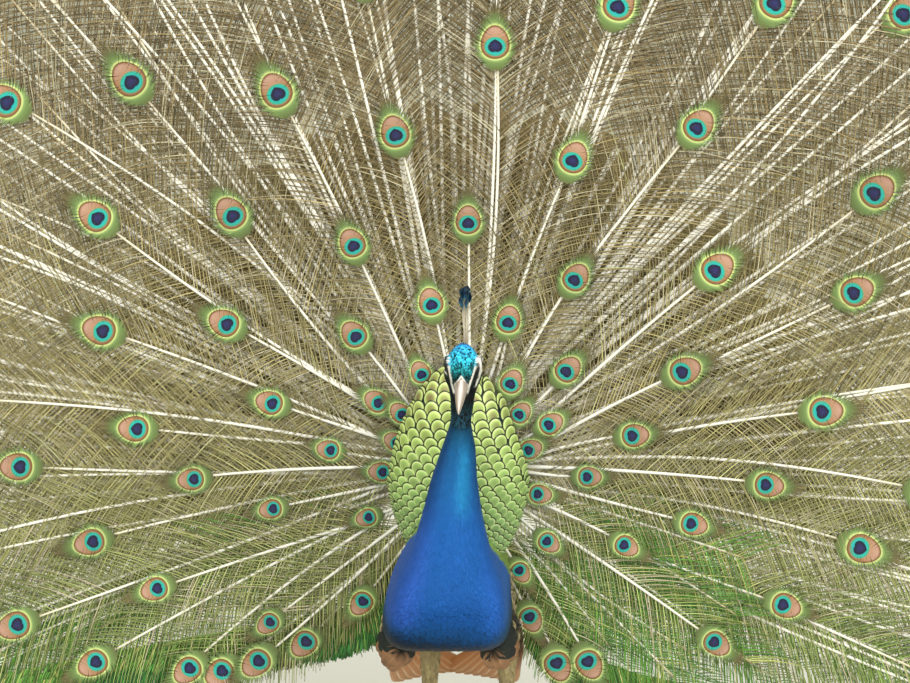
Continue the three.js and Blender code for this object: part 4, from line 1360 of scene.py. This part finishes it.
class PEACOCK_OT_thigh_coat(Operator):
    """Soft feathers of the thighs, down to the hock"""

    bl_idname = "peacock.thigh_coat"
    bl_label = "Thigh feathers"

    def execute(self, context):
        share, turn = even_places(1000)
        s, turn = 4.75 * share**1.25, turn * 2 * np.pi
        parts = []
        for side, row in ((1, 0.0), (-1, 0.5)):
            parts.append(plumes(
                lambda a, b: thigh_point(a, b, side, 2.5), s, turn, (turn / (2 * np.pi), row + s / 10),
                20 - 2.6 * s, 9 - 1.2 * s, 20 + side, colour=thigh_colour, outline=LONG_TIP,
            ))
        material = plume_material("thigh_down", 0.7, 0.0, 0.3, "d8c8a8", barbs=8, streak=0.2)
        piece("thigh_feathers", parts, material)
        return {"FINISHED"}


class PEACOCK_OT_wing_coat(Operator):
    """Barred scapulars and coverts over the folded wings"""

    bl_idname = "peacock.wing_coat"
    bl_label = "Wing coverts"

    def execute(self, context):
        share, turn = even_places(620)
        s, turn = 0.1 + 6.7 * share, turn * 2 * np.pi
        bars = np.array([rgb(c) for c in ("2a2a26", "b5a07a", "1e2422", "c2ae88", "23302c", "b8a47e")])
        dark = np.array([rgb(c) for c in ("101414", "141a1a", "101818", "182420", "101818", "141c1a")])
        chestnut = np.array([rgb(c) for c in ("4a3626", "7c5a3e", "906848", "9a7250", "906848", "7c5a3e")])

        def shade_of(at, out):
            return np.where(at[:, 1] > -45, 0, np.where(at[:, 2] > 262, 1, 2))

        parts = []
        for side, row in ((1, 0.0), (-1, 0.5)):
            for number, shades in enumerate((bars, dark, chestnut)):
                parts.append(plumes(
                    lambda a, b: pad_point(a, b, side, 3.0), s, turn, (turn / (2 * np.pi), row + s / 14.5),
                    30 - 1.2 * s, 17 - 0.6 * s, 30 + side, bars=shades, base=0.85, dish=0.2,
                    keep=lambda at, out: shade_of(at, out) == number,
                    outline=(0.5, 0.85, 1.0, 1.0, 0.9, 0.42),
                ))
        material = plume_material(
            "barred_buff_coverts", 0.6, 0.0, 0.2, "e8dcc0", barbs=12, streak=0.15, quill=0.4
        )
        piece("wing_coverts", parts, material)
        return {"FINISHED"}


def vent_colour(points):
    """Rump: bronze-green scales in front, grey-buff fluff behind."""
    return blend_of(("4c5a2c", "6e664e", "a79c84", "b4aa94"), (70, 100, 140, 184), points[:, 1])


class PEACOCK_OT_rump_coat(Operator):
    """Under-tail fluff behind the fan's root"""

    bl_idname = "peacock.rump_coat"
    bl_label = "Rump feathers"

    def execute(self, context):
        share, turn = even_places(1500)
        s, turn = 8.8 - 6.0 * share**0.8, turn * 2 * np.pi
        made = plumes(
            lambda a, b: rump_point(9 - a, b, 3.0), 9 - s, turn, (turn / (2 * np.pi), (9 - s) / 9),
            24.0, 9.0, 41,
            colour=vent_colour, lift=20.0, outline=LONG_TIP,
        )
        material = plume_material("vent_fluff", 0.75, 0.0, 0.3, "e8e0d0", barbs=8, streak=0.2)
        piece("rump_feathers", [made], material)
        return {"FINISHED"}


class PEACOCK_OT_back_scales(Operator):
    """The shield of rounded green-gold scale feathers over the back"""

    bl_idname = "peacock.back_scales"
    bl_label = "Back scales"

    def execute(self, context):
        spots = []
        climb = np.linspace(0, 1, 38)
        rise = np.concatenate([[0], np.cumsum(4.2 + 5.7 * climb[1:] ** 1.5)])
        rise = -1.0 + 2.04 * rise / rise[-1]
        for row, (height, gap) in enumerate(zip(rise, 8.4 + 9.2 * climb**1.2)):
            z = SHIELD_Z + height * (SHIELD_UP if height > 0 else SHIELD_DOWN)
            wide = SHIELD_WIDE * math.sqrt(max(1 - min(abs(height), 1) ** 2, 0.05)) * 1.02
            x = np.arange(-wide - gap * (row % 2) / 2, wide + 1, gap)
            spots.append(stacked(SHIELD_X + x, z, gap))
        spots = np.concatenate(spots)
        source = SOURCE(51)
        spots[:, :2] += source.normal(0, 0.6, (len(spots), 2))
        at, spread = dome_point(spots[:, 0], spots[:, 1])
        inner = np.minimum(0.97 / np.maximum(spread, 1e-6), 1)
        middle = np.array([SHIELD_X, SHIELD_Z])
        flat = middle + (spots[:, :2] - middle) * inner[:, None]
        at = dome_point(flat[:, 0], flat[:, 1])[0]
        x, z = flat[:, 0], flat[:, 1]
        slope_x = dome_point(x + 1, z)[0] - dome_point(x - 1, z)[0]
        slope_z = dome_point(x, z + 1)[0] - dome_point(x, z - 1)[0]
        out = unit(np.cross(slope_x, slope_z))
        out = out * -np.sign(out[:, 1:2])
        away = unit(stacked((x - SHIELD_X) / SHIELD_WIDE, 0.0, (z - SHIELD_Z + 90) / 110))
        lie = unit(away - out * np.sum(away * out, -1, keepdims=True))
        size = spots[:, 2]
        outline = np.array([0.6, 0.8, 0.95, 1.0, 0.985, 0.92, 0.8, 0.6, 0.15])
        points, vane = blades(at, lie, out, size * 1.12, size * 1.22, 11.0, 0.05, 0.2, outline, columns=7)
        shape = vane.copy()
        shape[..., 0] = 0.5 + (vane[..., 0] - 0.5) * outline[None, :, None]
        z = at[:, 2]
        marks = blend_of(("9ccc90", "aad67c", "c4e478", "d0e080"), (296, 380, 470, 532), z)
        marks = marks * source.normal(1, 0.10, (len(z), 1)).clip(0.7, 1.3)
        bronzed = soft(z, 430, 530) * source.uniform(0.1, 0.9, len(z)) + 0.08
        place = (at[:, 0] - SHIELD_X + 90) / 180, (z - SHIELD_Z + 120) / 262
        made = part(
            points, maps={"vane": shape, "OFBake": root_patch(*place, vane, 0.02)},
            values={"marks": marks[:, None, None], "tone": bronzed[:, None, None] + 0 * points[..., 0]},
        )
        piece("back_scale_feathers", [made], scale_material())
        return {"FINISHED"}


def train_feathers():
    """Every eyed train feather: its eyespot's place, ring, and how far it stands forward of the dish."""
    eyes = np.concatenate([ladder(), rim_eyes()])
    forward = np.interp(eyes[:, 2], (0, 1, RIM), (26, 22, 5)) + SOURCE(8).uniform(-4, 4, len(eyes))
    return eyes, forward


def disc_sizes(eyes):
    """The eyespots' sizes, by their rings."""
    return np.array(DISC)[eyes[:, 2].astype(int)]


def eye_discs(eyes, forward):
    """The eyespots as rows of x, y, z and radius, for barbs to pass behind."""
    y = fan_depth(eyes[:, 0], eyes[:, 1], forward + 4.0)
    return stacked(eyes[:, 0], y, eyes[:, 1], 25 * disc_sizes(eyes))


class PEACOCK_OT_train_eyespots(Operator):
    """The train's eyespots, and the shafts that carry them"""

    bl_idname = "peacock.train_eyespots"
    bl_label = "Train eyespots"

    def execute(self, context):
        eyes, forward = train_feathers()
        size = disc_sizes(eyes) * SOURCE(9).uniform(0.95, 1.05, len(eyes))
        lines = shaft_lines(eyes[:, :2], forward, 7, past=22 * size)
        way, normal, side = line_frames(lines)
        tips = eye_discs(eyes, forward)[:, :3]
        tone = SOURCE(10).uniform(0.86, 1.12, len(eyes))
        made = eyespot_vanes(tips, way[:, -1], side[:, -1], normal[:, -1], size, tone)
        piece(
            "train_eyespots", [made], eyespot_material(),
            replaces=[*(f"train_long_{k}" for k in range(1, 12)), *(f"train_short_{k}" for k in range(1, 8))],
        )
        thick = context.scene.peacock_sizes.shaft_root / MM
        lines[..., 1] -= 0.5
        piece("train_shafts", [quills(lines, thick, 2.4)], shaft_material())
        return {"FINISHED"}


class PEACOCK_OT_train_barbs(Operator):
    """Loose bronze barbs down both sides of every train shaft, in three pieces by size"""

    bl_idname = "peacock.train_barbs"
    bl_label = "Train barbs"

    def execute(self, context):
        eyes, forward = train_feathers()
        lines = shaft_lines(eyes[:, :2], forward, 7, past=-26 * disc_sizes(eyes))
        gap = context.scene.peacock_sizes.barb_gap / MM
        material = barb_material()
        ring = eyes[:, 2]
        groups = (("inner", ring < 4, 0.15, 1.0), ("middle", (ring >= 4) & (ring < RIM), 0.22, 1.1),
                  ("rim", ring >= RIM, 0.38, 1.25))
        discs = eye_discs(eyes, forward)
        for name, chosen, first, gaps in groups:
            reach = np.linalg.norm(lines[chosen, -1] - lines[chosen, 0], axis=-1)

            def length(share, pick):
                longest = np.interp(reach[pick], (60, 150, 300, 700), (26, 46, 84, 120))
                return longest * (1 - 0.35 * soft(share, 0.75, 1.0)) * (0.75 + 0.25 * soft(share, 0.2, 0.5))

            made = loose_barbs(
                lines[chosen], first, 1.0, gap * gaps, length, 60 + len(name), bronze, lift=9.0, under=discs,
            )
            piece(f"train_barbs_{name}", [made], material)
        return {"FINISHED"}


def hidden_shafts(headings, least, forward, reach_seed, seed, start=52.0):
    """Shafts at a range of headings that end at random shares of the fan's reach, from least to 0.95."""
    heading = np.radians(np.arange(*headings))
    reach = fan_reach(heading) * SOURCE(reach_seed).uniform(least, 0.95, len(heading)) - 42
    return shaft_lines(fan_place(heading, reach), forward, seed, start=start)


class PEACOCK_OT_fishtails(Operator):
    """The rim's fishtail feathers, whose shafts end in a forked vane with no eyespot, and the shafts of the
    feathers that others hide"""

    bl_idname = "peacock.fishtails"
    bl_label = "Fishtail feathers"

    def execute(self, context):
        heading = np.radians(np.arange(-24, 205, 8.2))
        lines = shaft_lines(fan_place(heading, fan_reach(heading) - 42), 0.0, 71)
        material = barb_material()
        tail_end = loose_barbs(
            lines, 0.86, 1.0, 1.5, lambda share, pick: 62 - 14 * soft(share, 0.86, 1.0), 72, green_gold,
            leave=40.0, droop=0.1, lift=2.0,
        )
        rest = loose_barbs(lines, 0.42, 0.87, 7.0, lambda share, pick: 90 + 0 * share, 73, bronze)
        piece("fishtail_barbs", [tail_end, rest], material)
        hidden = hidden_shafts((-25, 206, 3.3), 0.72, 4.0, 74, 75)
        nearer = hidden_shafts((-23, 204, 2.3), 0.60, 7.5, 78, 79, start=170.0)
        shafts = [quills(lines, 4.0, 1.2), quills(hidden, 5.0, 2.0), quills(nearer, 5.0, 2.4)]
        piece("fishtail_shafts", shafts, shaft_material())
        return {"FINISHED"}


class PEACOCK_OT_hem_fringe(Operator):
    """Sword feathers along the fan's lower edge, with dense green barbs on their lower side"""

    bl_idname = "peacock.hem_fringe"
    bl_label = "Hem fringe"

    def execute(self, context):
        edges = {
            1: [(58, 308), (82, 264), (108, 220), (138, 184), (184, 158), (260, 142), (380, 126), (520, 114),
                (700, 108), (840, 106)],
            -1: [(-62, 302), (-80, 254), (-98, 232), (-142, 218), (-240, 204), (-400, 182), (-560, 160),
                 (-740, 136), (-850, 122)],
        }
        parts, shafts = [], []
        for side, edge in edges.items():
            edge = along(np.array(edge, float), np.linspace(0, len(edge) - 1, 60))
            for layer, (up, forward, colour) in enumerate((
                (0, 14, deep_green), (5, 13, deep_green), (10, 12, deep_green), (16, 11, green_gold),
                (23, 9.5, green_gold), (31, 8, green_gold),
            )):
                x, z = edge[:, 0] + side * up * 0.3, edge[:, 1] + up
                line = stacked(x, fan_depth(x, z, forward), z)[None]
                parts.append(loose_barbs(
                    line, 0.0, 1.0, 0.85, lambda share, pick: 25 - 5 * share, 84 + 6 * side + layer, colour,
                    sides=(-side,), leave=52.0, droop=0.35, width=2.3, rows=5, lift=6.0, untidy=2.2,
                ))
            tips = edge[8::3]
            lines = shaft_lines(tips, 6.0, 81 + side, start=40.0, astray=6.0)
            shafts.append(quills(lines, 3.0, 0.9))
            parts.append(loose_barbs(
                lines, 0.35, 1.0, 5.0, lambda share, pick: 44 - 14 * share, 90 + side, green_gold, rows=5,
            ))
        heading = np.radians([-62, -50, -44, -38, -33, -27, -16, 196, 207, 219, 231])
        reach = np.array([210, 260, 340, 330, 390, 350, 330, 300, 270, 240, 190])
        tips = stacked(RAY_X + reach * np.cos(heading), RAY_Z + reach * np.sin(heading))
        lines = shaft_lines(tips, 16.0, 86, astray=8.0)
        shafts.append(quills(lines, 4.4, 2.0))
        parts.append(loose_barbs(
            lines, 0.2, 1.0, 3.4, lambda share, pick: 70 - 12 * share, 95, green_gold, rows=6, lift=6.0,
            under=eye_discs(*train_feathers()),
        ))
        piece("hem_barbs", parts, barb_material())
        piece("hem_shafts", shafts, shaft_material())
        return {"FINISHED"}


class PEACOCK_OT_tail(Operator):
    """The tail's twenty brown feathers, spread behind the train to hold it up"""

    bl_idname = "peacock.tail"
    bl_label = "Tail"

    def execute(self, context):
        count = 20
        heading = np.radians(np.linspace(TAIL_LOWEST + 4, 180 - TAIL_LOWEST - 4, count))[:, None, None]
        t = np.linspace(0, 1, 22)[None, :, None]
        a = np.linspace(-1, 1, 7)[None, None, :]
        reach = FAN_ROOT * 0.9 + (TAIL_LENGTH - 3 - FAN_ROOT * 0.9) * t
        half = np.interp(t, (0, 0.15, 0.6, 0.9, 0.97, 1.0), (10, 20, 33, 37, 29, 9))
        x = FAN_X + reach * np.cos(heading) - half * a * np.sin(heading)
        z = FAN_Z + reach * np.sin(heading) + half * a * np.cos(heading)
        y = fan_depth(x, z, -TAIL_BEHIND) + 0.00006 * reach**2 + 1.6 * a + 0.6
        points = stacked(x, y, z)
        vane = vane_map(a, t, count)
        share = vane[..., 1]
        brown = blend_of(("9d9070", "8a7c58", "85784e", "95875c", "b8aa80"), (0, 0.25, 0.7, 0.93, 1.0), share)
        freckle = SOURCE(91).normal(1, 0.16, share.shape)[..., None]
        made = part(
            points, maps={"vane": vane, "OFBake": strip_map(vane, 0.02, 0.96)},
            values={"marks": brown * freckle, "tone": np.ones(share.shape)},
        )
        material = plume_material("brown_tail_vanes", 0.55, 0.0, 0.15, "d8c8a8", barbs=40, streak=0.16)
        piece("tail_feathers", [made], material, replaces=["tail"])
        lines = stacked(x[:, :, 3], y[:, :, 3] + 1.6, z[:, :, 3])
        piece("tail_shafts", [quills(lines[:, :-1], 3.6, 1.0)], shaft_material())
        return {"FINISHED"}


class PEACOCK_OT_primaries(Operator):
    """Nine chestnut primaries a side, dropped and fanned below the wings"""

    bl_idname = "peacock.primaries"
    bl_label = "Primaries"

    def execute(self, context):
        parts, lines = [], []
        count = 9
        place = np.arange(count)[:, None, None] / (count - 1)
        t = np.linspace(0, 1, 26)[None, :, None]
        a = np.linspace(-1, 1, 7)[None, None, :]
        for side, row in ((1, 0.0), (-1, 0.5)):
            width = np.interp(t, (0, 0.2, 0.7, 0.9, 0.97, 1.0), (0.06, 0.11, 0.15, 0.135, 0.09, 0.03))
            u = place * 0.86 + 0.07 + width * a
            reach = t * (1 - 0.10 * (1 - place))
            root = stacked(side * (76 - 4 * u), -8 + 92 * u, 240 + 8 * u)
            ends = side * (66 - 92 * u), 152 + (78 - 5 * side) * u, 147 - 3 * u
            tip = stacked(*ends)
            points = root + (tip - root) * reach[..., None]
            points[..., 0] += FAN_X
            points[..., 2] += 12 * np.sin(np.pi * u) * (1 - reach)
            thick = np.array([side * 0.8, 0, -0.6])
            points = points + thick * (1.2 + 1.3 * a - 0.8 * (1 - a**2))[..., None]
            vane = vane_map(a, t, count)
            edge = soft(np.abs(vane[..., 0] - 0.5) * 2, 0.72, 1.0)
            marks = blend_of(("6d5438", "b0703e", "c4844e", "ac7646"), (0, 0.2, 0.75, 1.0), vane[..., 1])
            marks = mix(marks, rgb("e6c8a0"), edge * 0.55)
            parts.append(part(
                points, flip=side < 0, maps={"vane": vane, "OFBake": strip_map(vane, row + 0.01, 0.48)},
                values={"marks": marks, "tone": np.ones(vane.shape[:3])},
            ))
            lines.append(points[:, :-1, 3] + thick * 1.1)
        material = plume_material("chestnut_primaries", 0.5, 0.0, 0.2, "f0d8b0", barbs=36, streak=0.2)
        piece("primary_feathers", parts, material, replaces=["primaries_left", "primaries_right"])
        piece(
            "primary_shafts", [quills(np.concatenate(lines), 1.7, 0.6)], shaft_material(),
        )
        return {"FINISHED"}


def leg_lines(side):
    """A leg's tubes: the shank, then each toe, as rows of middles and radii."""
    hock = HOCK + [side * LEG_SPREAD, 0, 0]
    foot = FOOT + [side * LEG_SPREAD, 0, 0]
    rows = np.array([
        [-0.03, 0, 7.0], [0, 0, 8.8], [0.06, 1, 9.4], [0.18, 0, 6.6],
        [0.5, -2, 6.2], [0.84, 0, 6.6], [0.97, 0, 8.2], [1.045, 0, 7.2],
    ])
    smooth = along(rows, np.linspace(0, 7, 60))
    shank = hock + (foot - hock) * smooth[:, :1]
    shank[:, 1] += smooth[:, 1]
    found = [("shank", shank, smooth[:, 2])]
    toes = (
        ("middle", side * 6, 66, 6.2, 3), ("inner", -side * 34, 47, 5.6, 2), ("outer", side * 46, 52, 5.6, 3),
        ("hind", side * 192, 27, 4.6, 1),
    )
    for name, degrees, length, thick, joints in toes:
        angle = math.radians(degrees)
        t = np.linspace(0, 1, 30)
        radius = thick * (1 - 0.35 * t) * (1 + 0.08 * np.cos(t * joints * 2 * np.pi + np.pi))
        height = np.maximum(FOOT[2] * (1 - 3.2 * t), radius - 1.6)
        x, y = foot[0] + np.sin(angle) * length * t, foot[1] - np.cos(angle) * length * t
        middle = stacked(x, y, height)
        found.append((name, middle, radius))
    return found


class PEACOCK_OT_legs(Operator):
    """Scaled shanks and toes"""

    bl_idname = "peacock.legs"
    bl_label = "Legs"

    def execute(self, context):
        parts = []
        for side in (1, -1):
            for name, middle, radius in leg_lines(side):
                sides = 22
                turn = np.linspace(0, 2 * np.pi, sides, endpoint=False)
                scute = np.arange(len(middle))[:, None] / (2.0 if name == "shank" else 1.5)
                ripple = 1 + 0.025 * np.cos(2 * np.pi * scute) * (0.6 + 0.4 * np.cos(turn)[None])
                points = tubes(middle[None], radius[None], sides, ripple[None, :, :, None])
                points[..., 2] = np.maximum(points[..., 2], 0)
                share = np.linspace(0, 1, points.shape[1])[:, None]
                long = share * (1.0 if name == "shank" else 0.35)
                vane = stacked(turn[None] / (2 * np.pi), long)
                parts.append(part(points, closed=True, maps={"vane": vane[None]}))
        names = [f"toe_{s}_{toe}" for s in ("left", "right") for toe in ("middle", "inner", "outer", "hind")]
        piece(
            "legs_and_toes", parts, leg_material(), replaces=["shank_left", "shank_right", *names]
        )
        return {"FINISHED"}


class PEACOCK_OT_claws(Operator):
    """Claws and spurs keep their solids and get horn"""

    bl_idname = "peacock.claws"
    bl_label = "Claws and spurs"

    def execute(self, context):
        horn = claw_material()
        for side in ("left", "right"):
            for toe in ("middle", "inner", "outer", "hind"):
                finish_node(f"claw_{side}_{toe}", horn)
            finish_node(f"spur_{side}", horn)
        return {"FINISHED"}


def finish_node(name, material):
    """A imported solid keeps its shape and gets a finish."""
    for made in bpy.data.objects:
        if made.type == "MESH" and made.name == name:
            made.data.materials.clear()
            made.data.materials.append(material)
            return
    raise RuntimeError(f"No solid is called {name}")


class PEACOCK_OT_bill(Operator):
    """Both halves of the bill, with nostrils"""

    bl_idname = "peacock.bill"
    bl_label = "Bill"

    def execute(self, context):
        upper = np.array([[-121, 560.5, 7.8, 7.2], [-127.6, 555.2, 6.8, 7.0], [-135.3, 549, 5.5, 6.2],
                          [-143.1, 543.3, 4.0, 5.2], [-149.3, 538.4, 2.5, 3.8], [-151.8, 535.1, 1.3, 2.2],
                          [-152.3, 533, 0.5, 0.9]])
        lower = np.array([[-121, 560.5, 7.2, 5.0], [-127.6, 555.2, 6.2, 4.6], [-135.3, 549, 4.9, 3.8],
                          [-143.1, 543.3, 3.1, 2.6], [-146.8, 540.4, 1.4, 1.4]])
        horn = bill_material()
        piece(
            "bill_upper_horn", [bill_half(upper, True)], horn, replaces=["bill_upper"], weld=True
        )
        piece(
            "bill_lower_horn", [bill_half(lower, False)], horn, replaces=["bill_lower"],
            weld=True,
        )
        return {"FINISHED"}


class PEACOCK_OT_eyes(Operator):
    """Eyeballs with dark brown irises, and their lids"""

    bl_idname = "peacock.eyes"
    bl_label = "Eyes"

    def execute(self, context):
        material = graded_material("wet_eye", [
            (0.0, "050404"), (0.125, "050404"), (0.14, "3c2413"), (0.22, "52331b"), (0.255, "21150c"),
            (0.29, "1a1512"),
        ], Roughness=0.12, IOR=1.376, Coat_Weight=1.0, Coat_Roughness=0.02)
        for side, name in ((1, "left"), (-1, "right")):
            piece(
                f"eyeball_{name}", [eye_ball(side)], material, replaces=[f"eye_{name}"], weld=True
            )
        lid, tree, body = new_material("grey_lid_skin", Roughness=0.5)
        folds = noise(tree, 1 / (1.2 * MM), 3.0)
        feed(tree, body, ramp(tree, folds, [(0.3, "2b3236"), (0.7, "6a7478")]), folds, 0.4, 0.0003)
        piece("eyelids", [lid_ring(1), lid_ring(-1)], lid, weld=True)
        return {"FINISHED"}


class PEACOCK_OT_crest(Operator):
    """The crest: bare pale shafts in a fore-and-aft fan, each ending in a small blue-green paddle"""

    bl_idname = "peacock.crest"
    bl_label = "Crest"

    def execute(self, context):
        count = 24
        source = SOURCE(101)
        lean = np.radians(np.linspace(-23, 39, count) + source.normal(0, 0.6, count))
        aside = source.normal(0, 1.6, count)
        length = 49 + 6 * np.cos(np.linspace(-1.4, 1.4, count)) + source.normal(0, 1.2, count)
        root = stacked(19 + aside * 0.35, -99 + 9 * np.sin(lean), 592 + 3 * np.cos(lean))
        way = unit(stacked(aside / 52, np.sin(lean), np.cos(lean)))
        t = np.linspace(0, 1, 12)[None, :, None]
        lines = root[:, None] + way[:, None] * (length[:, None, None] * t)
        lines[..., 1] += 2.2 * np.sin(np.pi * t[..., 0]) * np.sign(lean)[:, None]
        shades = [(0.0, "b9a890"), (0.5, "e6dccb"), (1.0, "6a6a5c")]
        quill = graded_material("crest_shaft_ivory", shades, Roughness=0.45)
        piece("crest_shafts", [quills(lines, 0.9, 0.5)], quill, replaces=["crest"])
        across = unit(np.cross(way, [1.0, 0, 0]))
        twist = source.normal(0, 0.35, count)[:, None]
        flat = across * np.cos(twist) + np.array([1.0, 0, 0]) * np.sin(twist)
        normal = np.cross(flat, way)
        rows = np.linspace(0, 1, 9)[None, :, None]
        a = np.linspace(-1, 1, 7)[None, None, :]
        half = np.interp(rows, (0, 0.25, 0.6, 0.85, 1.0), (0.6, 2.2, 4.6, 5.0, 3.4)) * a
        ahead = 12.5 * rows - 1.3 * a**2 * rows
        start = lines[:, -1] - way * 5.5
        points = (
            start[:, None, None] + way[:, None, None] * ahead[..., None]
            + flat[:, None, None] * half[..., None]
            + normal[:, None, None] * (0.5 * np.cos(3 * a) + 0 * rows)[..., None]
        )
        vane = vane_map(a, rows, count)
        cells = stacked(np.arange(count) % 5, np.arange(count) // 5)[:, None, None]
        marks = blend_of(("2a6f74", "1f5f86", "16324f", "0e2036"), (0, 0.35, 0.75, 1.0), vane[..., 1])
        made = part(
            points, maps={"vane": vane, "OFBake": (cells + 0.05 + 0.9 * vane) / 5},
            values={"marks": marks, "tone": np.ones(vane.shape[:3])},
        )
        tip = plume_material("crest_tip_navy", 0.42, 0.3, 0.2, "70c8d8", barbs=8, streak=0.3)
        piece("crest_tips", [made], tip)
        return {"FINISHED"}


# ---- Stage -----------------------------------------------
class PEACOCK_OT_stage(Operator):
    """A plain pale floor, soft lights and the camera"""

    bl_idname = "peacock.stage"
    bl_label = "Stage"

    def execute(self, context):
        grid = np.array([[[-40, -40], [40, -40]], [[-40, 40], [40, 40]]], float)
        floor = bpy.data.meshes.new("floor")
        floor.from_pydata([(*p, -0.0005) for p in grid.reshape(-1, 2)], [], [(0, 1, 3, 2)])
        material, tree, body = new_material("painted_studio_floor", Roughness=0.85)
        shade = remap(tree, noise(tree, 1.5, 3.0), 0.0, 1.0, 0.97, 1.03)
        feed(tree, body, scaled(tree, tuple(context.scene.peacock_colours.floor), shade))
        floor.materials.append(material)
        made = bpy.data.objects.new("floor", floor)
        context.scene.collection.objects.link(made)

        world = bpy.data.worlds.new("studio_air")
        world.use_nodes = True
        world.node_tree.nodes["Background"].inputs["Color"].default_value = linear("e2e4cc")
        world.node_tree.nodes["Background"].inputs["Strength"].default_value = 0.8
        context.scene.world = world
        lamps = (("key", (-1100, -2500, 2900), 1.8, 62), ("fill", (2000, -2100, 1800), 2.2, 42),
                 ("top", (0, -300, 3400), 2.4, 30), ("rear", (900, 2300, 2500), 1.6, 30))
        target = placed([0, 0, 620])
        for name, place, size, power in lamps:
            lamp = bpy.data.lights.new(name, "AREA")
            lamp.energy, lamp.size, lamp.shape = power, size, "DISK"
            made = bpy.data.objects.new(name, lamp)
            made.location = placed(place)
            look = np.array(made.location) - target
            tilt = math.acos(look[2] / np.linalg.norm(look))
            made.rotation_euler = (tilt, 0, math.atan2(look[0], -look[1]))
            context.scene.collection.objects.link(made)

        eye = bpy.data.cameras.new("camera")
        eye.sensor_width, eye.lens, eye.clip_end = 36.0, 2592 / 910 * 36, 100.0
        made = bpy.data.objects.new("camera", eye)
        made.location = placed([8, -context.scene.peacock_sizes.camera_distance / MM, 1069])
        made.rotation_euler = (math.radians(80), 0, 0)
        context.scene.collection.objects.link(made)
        context.scene.camera = made
        context.scene.view_settings.view_transform = "Standard"
        return {"FINISHED"}


STEPS = (
    PEACOCK_OT_stage, PEACOCK_OT_skin, PEACOCK_OT_eyes, PEACOCK_OT_bill, PEACOCK_OT_crest,
    PEACOCK_OT_head_coat, PEACOCK_OT_neck_coat, PEACOCK_OT_trunk_coat, PEACOCK_OT_thigh_coat,
    PEACOCK_OT_wing_coat, PEACOCK_OT_rump_coat, PEACOCK_OT_back_scales, PEACOCK_OT_train_eyespots,
    PEACOCK_OT_train_barbs, PEACOCK_OT_fishtails, PEACOCK_OT_hem_fringe, PEACOCK_OT_tail,
    PEACOCK_OT_primaries, PEACOCK_OT_legs, PEACOCK_OT_claws,
)


class PEACOCK_PT_pieces(Panel):
    """Lists the sizes, colours and pieces in the sidebar"""

    bl_label = "Displaying peacock"
    bl_idname = "PEACOCK_PT_pieces"
    bl_space_type = "VIEW_3D"
    bl_region_type = "UI"
    bl_category = "Peacock"

    def draw(self, context):
        for group in (context.scene.peacock_sizes, context.scene.peacock_colours):
            box = self.layout.box()
            for name in group.bl_rna.properties.keys():
                if name not in ("rna_type", "name"):
                    box.prop(group, name)
        for step in STEPS:
            self.layout.operator(step.bl_idname)


CLASSES = (PeacockSizes, PeacockColours, *STEPS, PEACOCK_PT_pieces)


def register():
    for each in CLASSES:
        bpy.utils.register_class(each)
    bpy.types.Scene.peacock_sizes = PointerProperty(type=PeacockSizes)
    bpy.types.Scene.peacock_colours = PointerProperty(type=PeacockColours)


def unregister():
    del bpy.types.Scene.peacock_sizes
    del bpy.types.Scene.peacock_colours
    for each in reversed(CLASSES):
        bpy.utils.unregister_class(each)


def main():
    """Makes every piece in order."""
    register()
    for step in STEPS:
        space, name = step.bl_idname.split(".")
        getattr(getattr(bpy.ops, space), name)()


if __name__ == "__main__":
    main()
